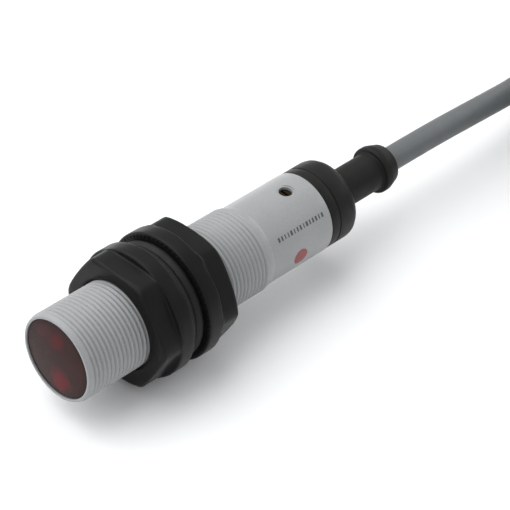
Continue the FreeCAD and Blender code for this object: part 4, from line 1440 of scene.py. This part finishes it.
class SENSOR_OT_rear(bpy.types.Operator):
    """Makes the rear cap and the strain relief"""

    bl_idname = "sensor.rear"
    bl_label = "Rear cap and strain relief"

    def execute(self, context):
        tones = context.scene.sensor_colours
        housing = context.scene.sensor_housing
        rear = context.scene.sensor_rear
        start, end = (corner.y - FRONT for corner in CAP_BOX)
        outside = CAP_BOX[1].x
        spigot = housing.bore_radius - housing.slip
        inside = spigot - rear.wall
        floor = end - rear.floor
        seam = housing.barrel_end + rear.seam
        groove, groove_end = start + rear.groove_start, start + 2 * rear.groove_start
        bottom = spigot - rear.groove_depth
        line = housing.barrel_end + rear.line_station
        line_end = line + rear.line_width
        corners = [
            (start, (inside + spigot) / 2, 0.0),
            (start, spigot, 0.2),
            (groove, spigot, 0.05),
            (groove, bottom, 0.05),
            (groove_end, bottom, 0.05),
            (groove_end, spigot, 0.05),
            (seam, spigot, 0.0),
            (seam, outside, 0.22),
            (line, outside, 0.06),
            (line + rear.line_slope, outside - rear.line_depth, 0.03),
            (line_end - rear.line_slope, outside - rear.line_depth, 0.03),
            (line_end, outside, 0.06),
            (end, outside, 1.9),
            (end, rear.neck_hole, 0.15),
            (floor, rear.neck_hole, 0.0),
            (floor, inside, 0.2),
            (start, inside, 0.1),
        ]
        tone, dull = tuple(tones.cap), {"Specular_IOR_Level": 0.15}
        plastic = moulded("rear_cap_finish", tone, 0.42, 0.15, 6500.0, 0.000012, **dull)
        name = "rear_cap_shell"
        add_piece(name, turned(name, corners), plastic, BODY, "black_plastic", "rear_cap")

        foot, tail = (corner.y - FRONT for corner in RELIEF_BOX)
        collar = tail - rear.collar_length
        corners = [
            (foot, rear.neck_radius, 0.0),
            (foot, rear.foot_radius, 0.2),
            (floor, rear.foot_radius, 0.2),
            (floor, rear.neck_radius, 0.0),
            (collar, rear.neck_radius, 0.30),
            (collar, rear.collar_radius, 0.50),
            (collar + rear.collar_flat, rear.collar_radius, 1.2),
            (tail, rear.tail_radius, 0.55),
            (tail, rear.cable_hole, 0.2),
            (foot, rear.cable_hole, 0.1),
        ]
        name, tone = "strain_relief_boot", tuple(tones.relief)
        rubber = moulded("strain_relief_finish", tone, 0.50, 0.15, 6000.0, 0.000015, **dull)
        add_piece(name, turned(name, corners), rubber, BODY, "black_rubber", "strain_relief")
        return {"FINISHED"}


# ------------------------------------------------------------------ print


def print_tree(sizes, radius):
    """Printed bars in a row, wrapped onto the barrel."""
    pitch = (sizes.end - sizes.start) / sizes.bar_count
    tree = Tree(
        "printed_bars",
        {
            "Bars": sizes.bar_count,
            "Start": sizes.start,
            "Pitch": pitch,
            "Bar Length": sizes.bar_length,
            "Bar Height": sizes.bar_height,
            "Row Angle": sizes.row_angle,
            "Thickness": sizes.thickness,
            "Barrel Radius": radius,
            "Front": FRONT,
            "Axis": AXIS,
            "Seed": 7,
        },
        takes_mesh=False,
    )
    points = tree.put("GeometryNodePoints", tree["Bars"])
    index = tree.put("GeometryNodeInputIndex")
    station = tree.math("MULTIPLY_ADD", tree.math("ADD", index, 0.5), tree["Pitch"], tree["Start"])
    placed = tree.set_place(points, tree.vector(station, 0.0, 0.0))
    block = tree.put("GeometryNodeMeshCube", (1.0, 1.0, 1.0), 2, 8, 2)
    wide = tree.put(
        "FunctionNodeRandomValue",
        named={"Min": 0.55, "Max": 1.35, "ID": index, "Seed": tree["Seed"]},
        data_type="FLOAT",
    )
    size_of = tree.vector(tree.times(wide, tree["Bar Length"]), tree["Bar Height"], tree["Thickness"])
    bars = tree.put("GeometryNodeInstanceOnPoints", placed, named={"Instance": block, "Scale": size_of})
    real = tree.put("GeometryNodeRealizeInstances", bars)
    x, y, z = tree.split(tree.put("GeometryNodeInputPosition"))
    turn = tree.math("ADD", tree.math("DIVIDE", y, tree["Barrel Radius"]), tree["Row Angle"])
    out = tree.math("ADD", tree["Barrel Radius"], z)
    wrapped = tree.around(tree.math("ADD", x, tree["Front"]), out, turn)
    return tree.end(tree.set_place(real, wrapped))


class SENSOR_OT_print(bpy.types.Operator):
    """Prints a row of plain bars and a dot on the barrel"""

    bl_idname = "sensor.print"
    bl_label = "Print"

    def execute(self, context):
        sizes = context.scene.sensor_print
        radius = context.scene.sensor_housing.barrel_radius
        ink = moulded("ink_finish", tuple(context.scene.sensor_colours.ink), 0.5, 0.2)
        start = bpy.data.meshes.new("print")
        bars = print_tree(sizes, radius).run(link("printed_bars", start), ink)
        settled(bars.data)
        dress(bars, ink, BODY, "black_plastic")
        red = moulded("dot_finish", tuple(context.scene.sensor_colours.dot), 0.45, 0.08)
        rings = []
        for lift in (sizes.thickness, -sizes.thickness):
            steps = (0.0, 0.25, 0.5, 0.75, 1.0) if lift > 0 else (1.0, 0.75, 0.5, 0.25, 0.0)
            for part in steps:
                n = 40 if part > 0 else 1
                ring = []
                for i in range(n):
                    a = FULL_TURN * i / n
                    along = sizes.dot_station + part * sizes.dot_radius * math.cos(a)
                    turn = sizes.dot_angle + part * sizes.dot_radius * math.sin(a) / radius
                    ring.append(around(along, radius + lift, turn))
                rings.append(ring)
        add_piece("printed_dot", settled(loft("printed_dot", rings)), red, BODY, "black_plastic")
        return {"FINISHED"}


# ------------------------------------------------------------------ inner pieces


class SENSOR_OT_inner(bpy.types.Operator):
    """Finishes the boards, chips, trimmer and wires"""

    bl_idname = "sensor.inner"
    bl_label = "Inner pieces"

    def execute(self, context):
        chip = moulded("chip_case_finish", (0.018, 0.018, 0.019), 0.5)
        rubber = moulded("seal_finish", (0.015, 0.015, 0.015), 0.6)
        finishes = {
            "front_board": board_finish("front_board_finish"),
            "main_board": board_finish("main_board_finish"),
            "control_chip": chip,
            "amplifier_chip": chip,
            "output_driver_chip": chip,
            "polarity_diodes": chip,
            "chip_capacitors": moulded("ceramic_finish", (0.42, 0.30, 0.20), 0.35),
            "chip_resistors": moulded("resistor_finish", (0.03, 0.03, 0.032), 0.35),
            "storage_capacitor": moulded("tantalum_finish", (0.62, 0.36, 0.05), 0.4),
            "trimmer_body": moulded("trimmer_case_finish", (0.03, 0.10, 0.30), 0.4),
            # Painted shade: the brass screw gets a colour far darker than brass, so the trimmer hole reads
            # dark.
            "trimmer_screw": metal("trimmer_brass_finish", (0.030, 0.022, 0.014), 0.5),
            "trimmer_seal": rubber,
            "cap_seal": rubber,
            "cable_clamp": metal("crimp_metal_finish", (0.62, 0.62, 0.63), 0.3),
            "inner_cable": jacket_finish(tuple(context.scene.sensor_colours.jacket)),
            "inner_wires": moulded("core_insulation_finish", (0.30, 0.20, 0.12), 0.4),
        }
        finish_nodes(finishes)
        return {"FINISHED"}


# ------------------------------------------------------------------ panel and main


OPERATORS = (
    SENSOR_OT_stage,
    SENSOR_OT_cord,
    SENSOR_OT_housing,
    SENSOR_OT_window,
    SENSOR_OT_nuts,
    SENSOR_OT_rear,
    SENSOR_OT_print,
    SENSOR_OT_inner,
)


class SENSOR_PT_pieces(bpy.types.Panel):
    """Lists the sensor's pieces"""

    bl_label = "Photoelectric Sensor"
    bl_idname = "SENSOR_PT_pieces"
    bl_space_type = "VIEW_3D"
    bl_region_type = "UI"
    bl_category = "Sensor"

    def draw(self, context):
        for operator in OPERATORS:
            self.layout.operator(operator.bl_idname)
        for group in SIZE_GROUPS:
            box = self.layout.box()
            values = getattr(context.scene, group)
            for key in values.bl_rna.properties.keys():
                if key not in ("rna_type", "name"):
                    box.prop(values, key)


CLASSES = (*SIZE_GROUPS.values(), *OPERATORS, SENSOR_PT_pieces)


def register():
    for made in CLASSES:
        bpy.utils.register_class(made)
    for name, group in SIZE_GROUPS.items():
        setattr(bpy.types.Scene, name, PointerProperty(type=group))


def unregister():
    for name in SIZE_GROUPS:
        delattr(bpy.types.Scene, name)
    for made in reversed(CLASSES):
        bpy.utils.unregister_class(made)


def main():
    register()
    bpy.ops.sensor.stage()
    bpy.ops.sensor.cord()
    bpy.ops.sensor.housing()
    bpy.ops.sensor.window()
    bpy.ops.sensor.nuts()
    bpy.ops.sensor.rear()
    bpy.ops.sensor.print()
    bpy.ops.sensor.inner()


if __name__ == "__main__":
    main()
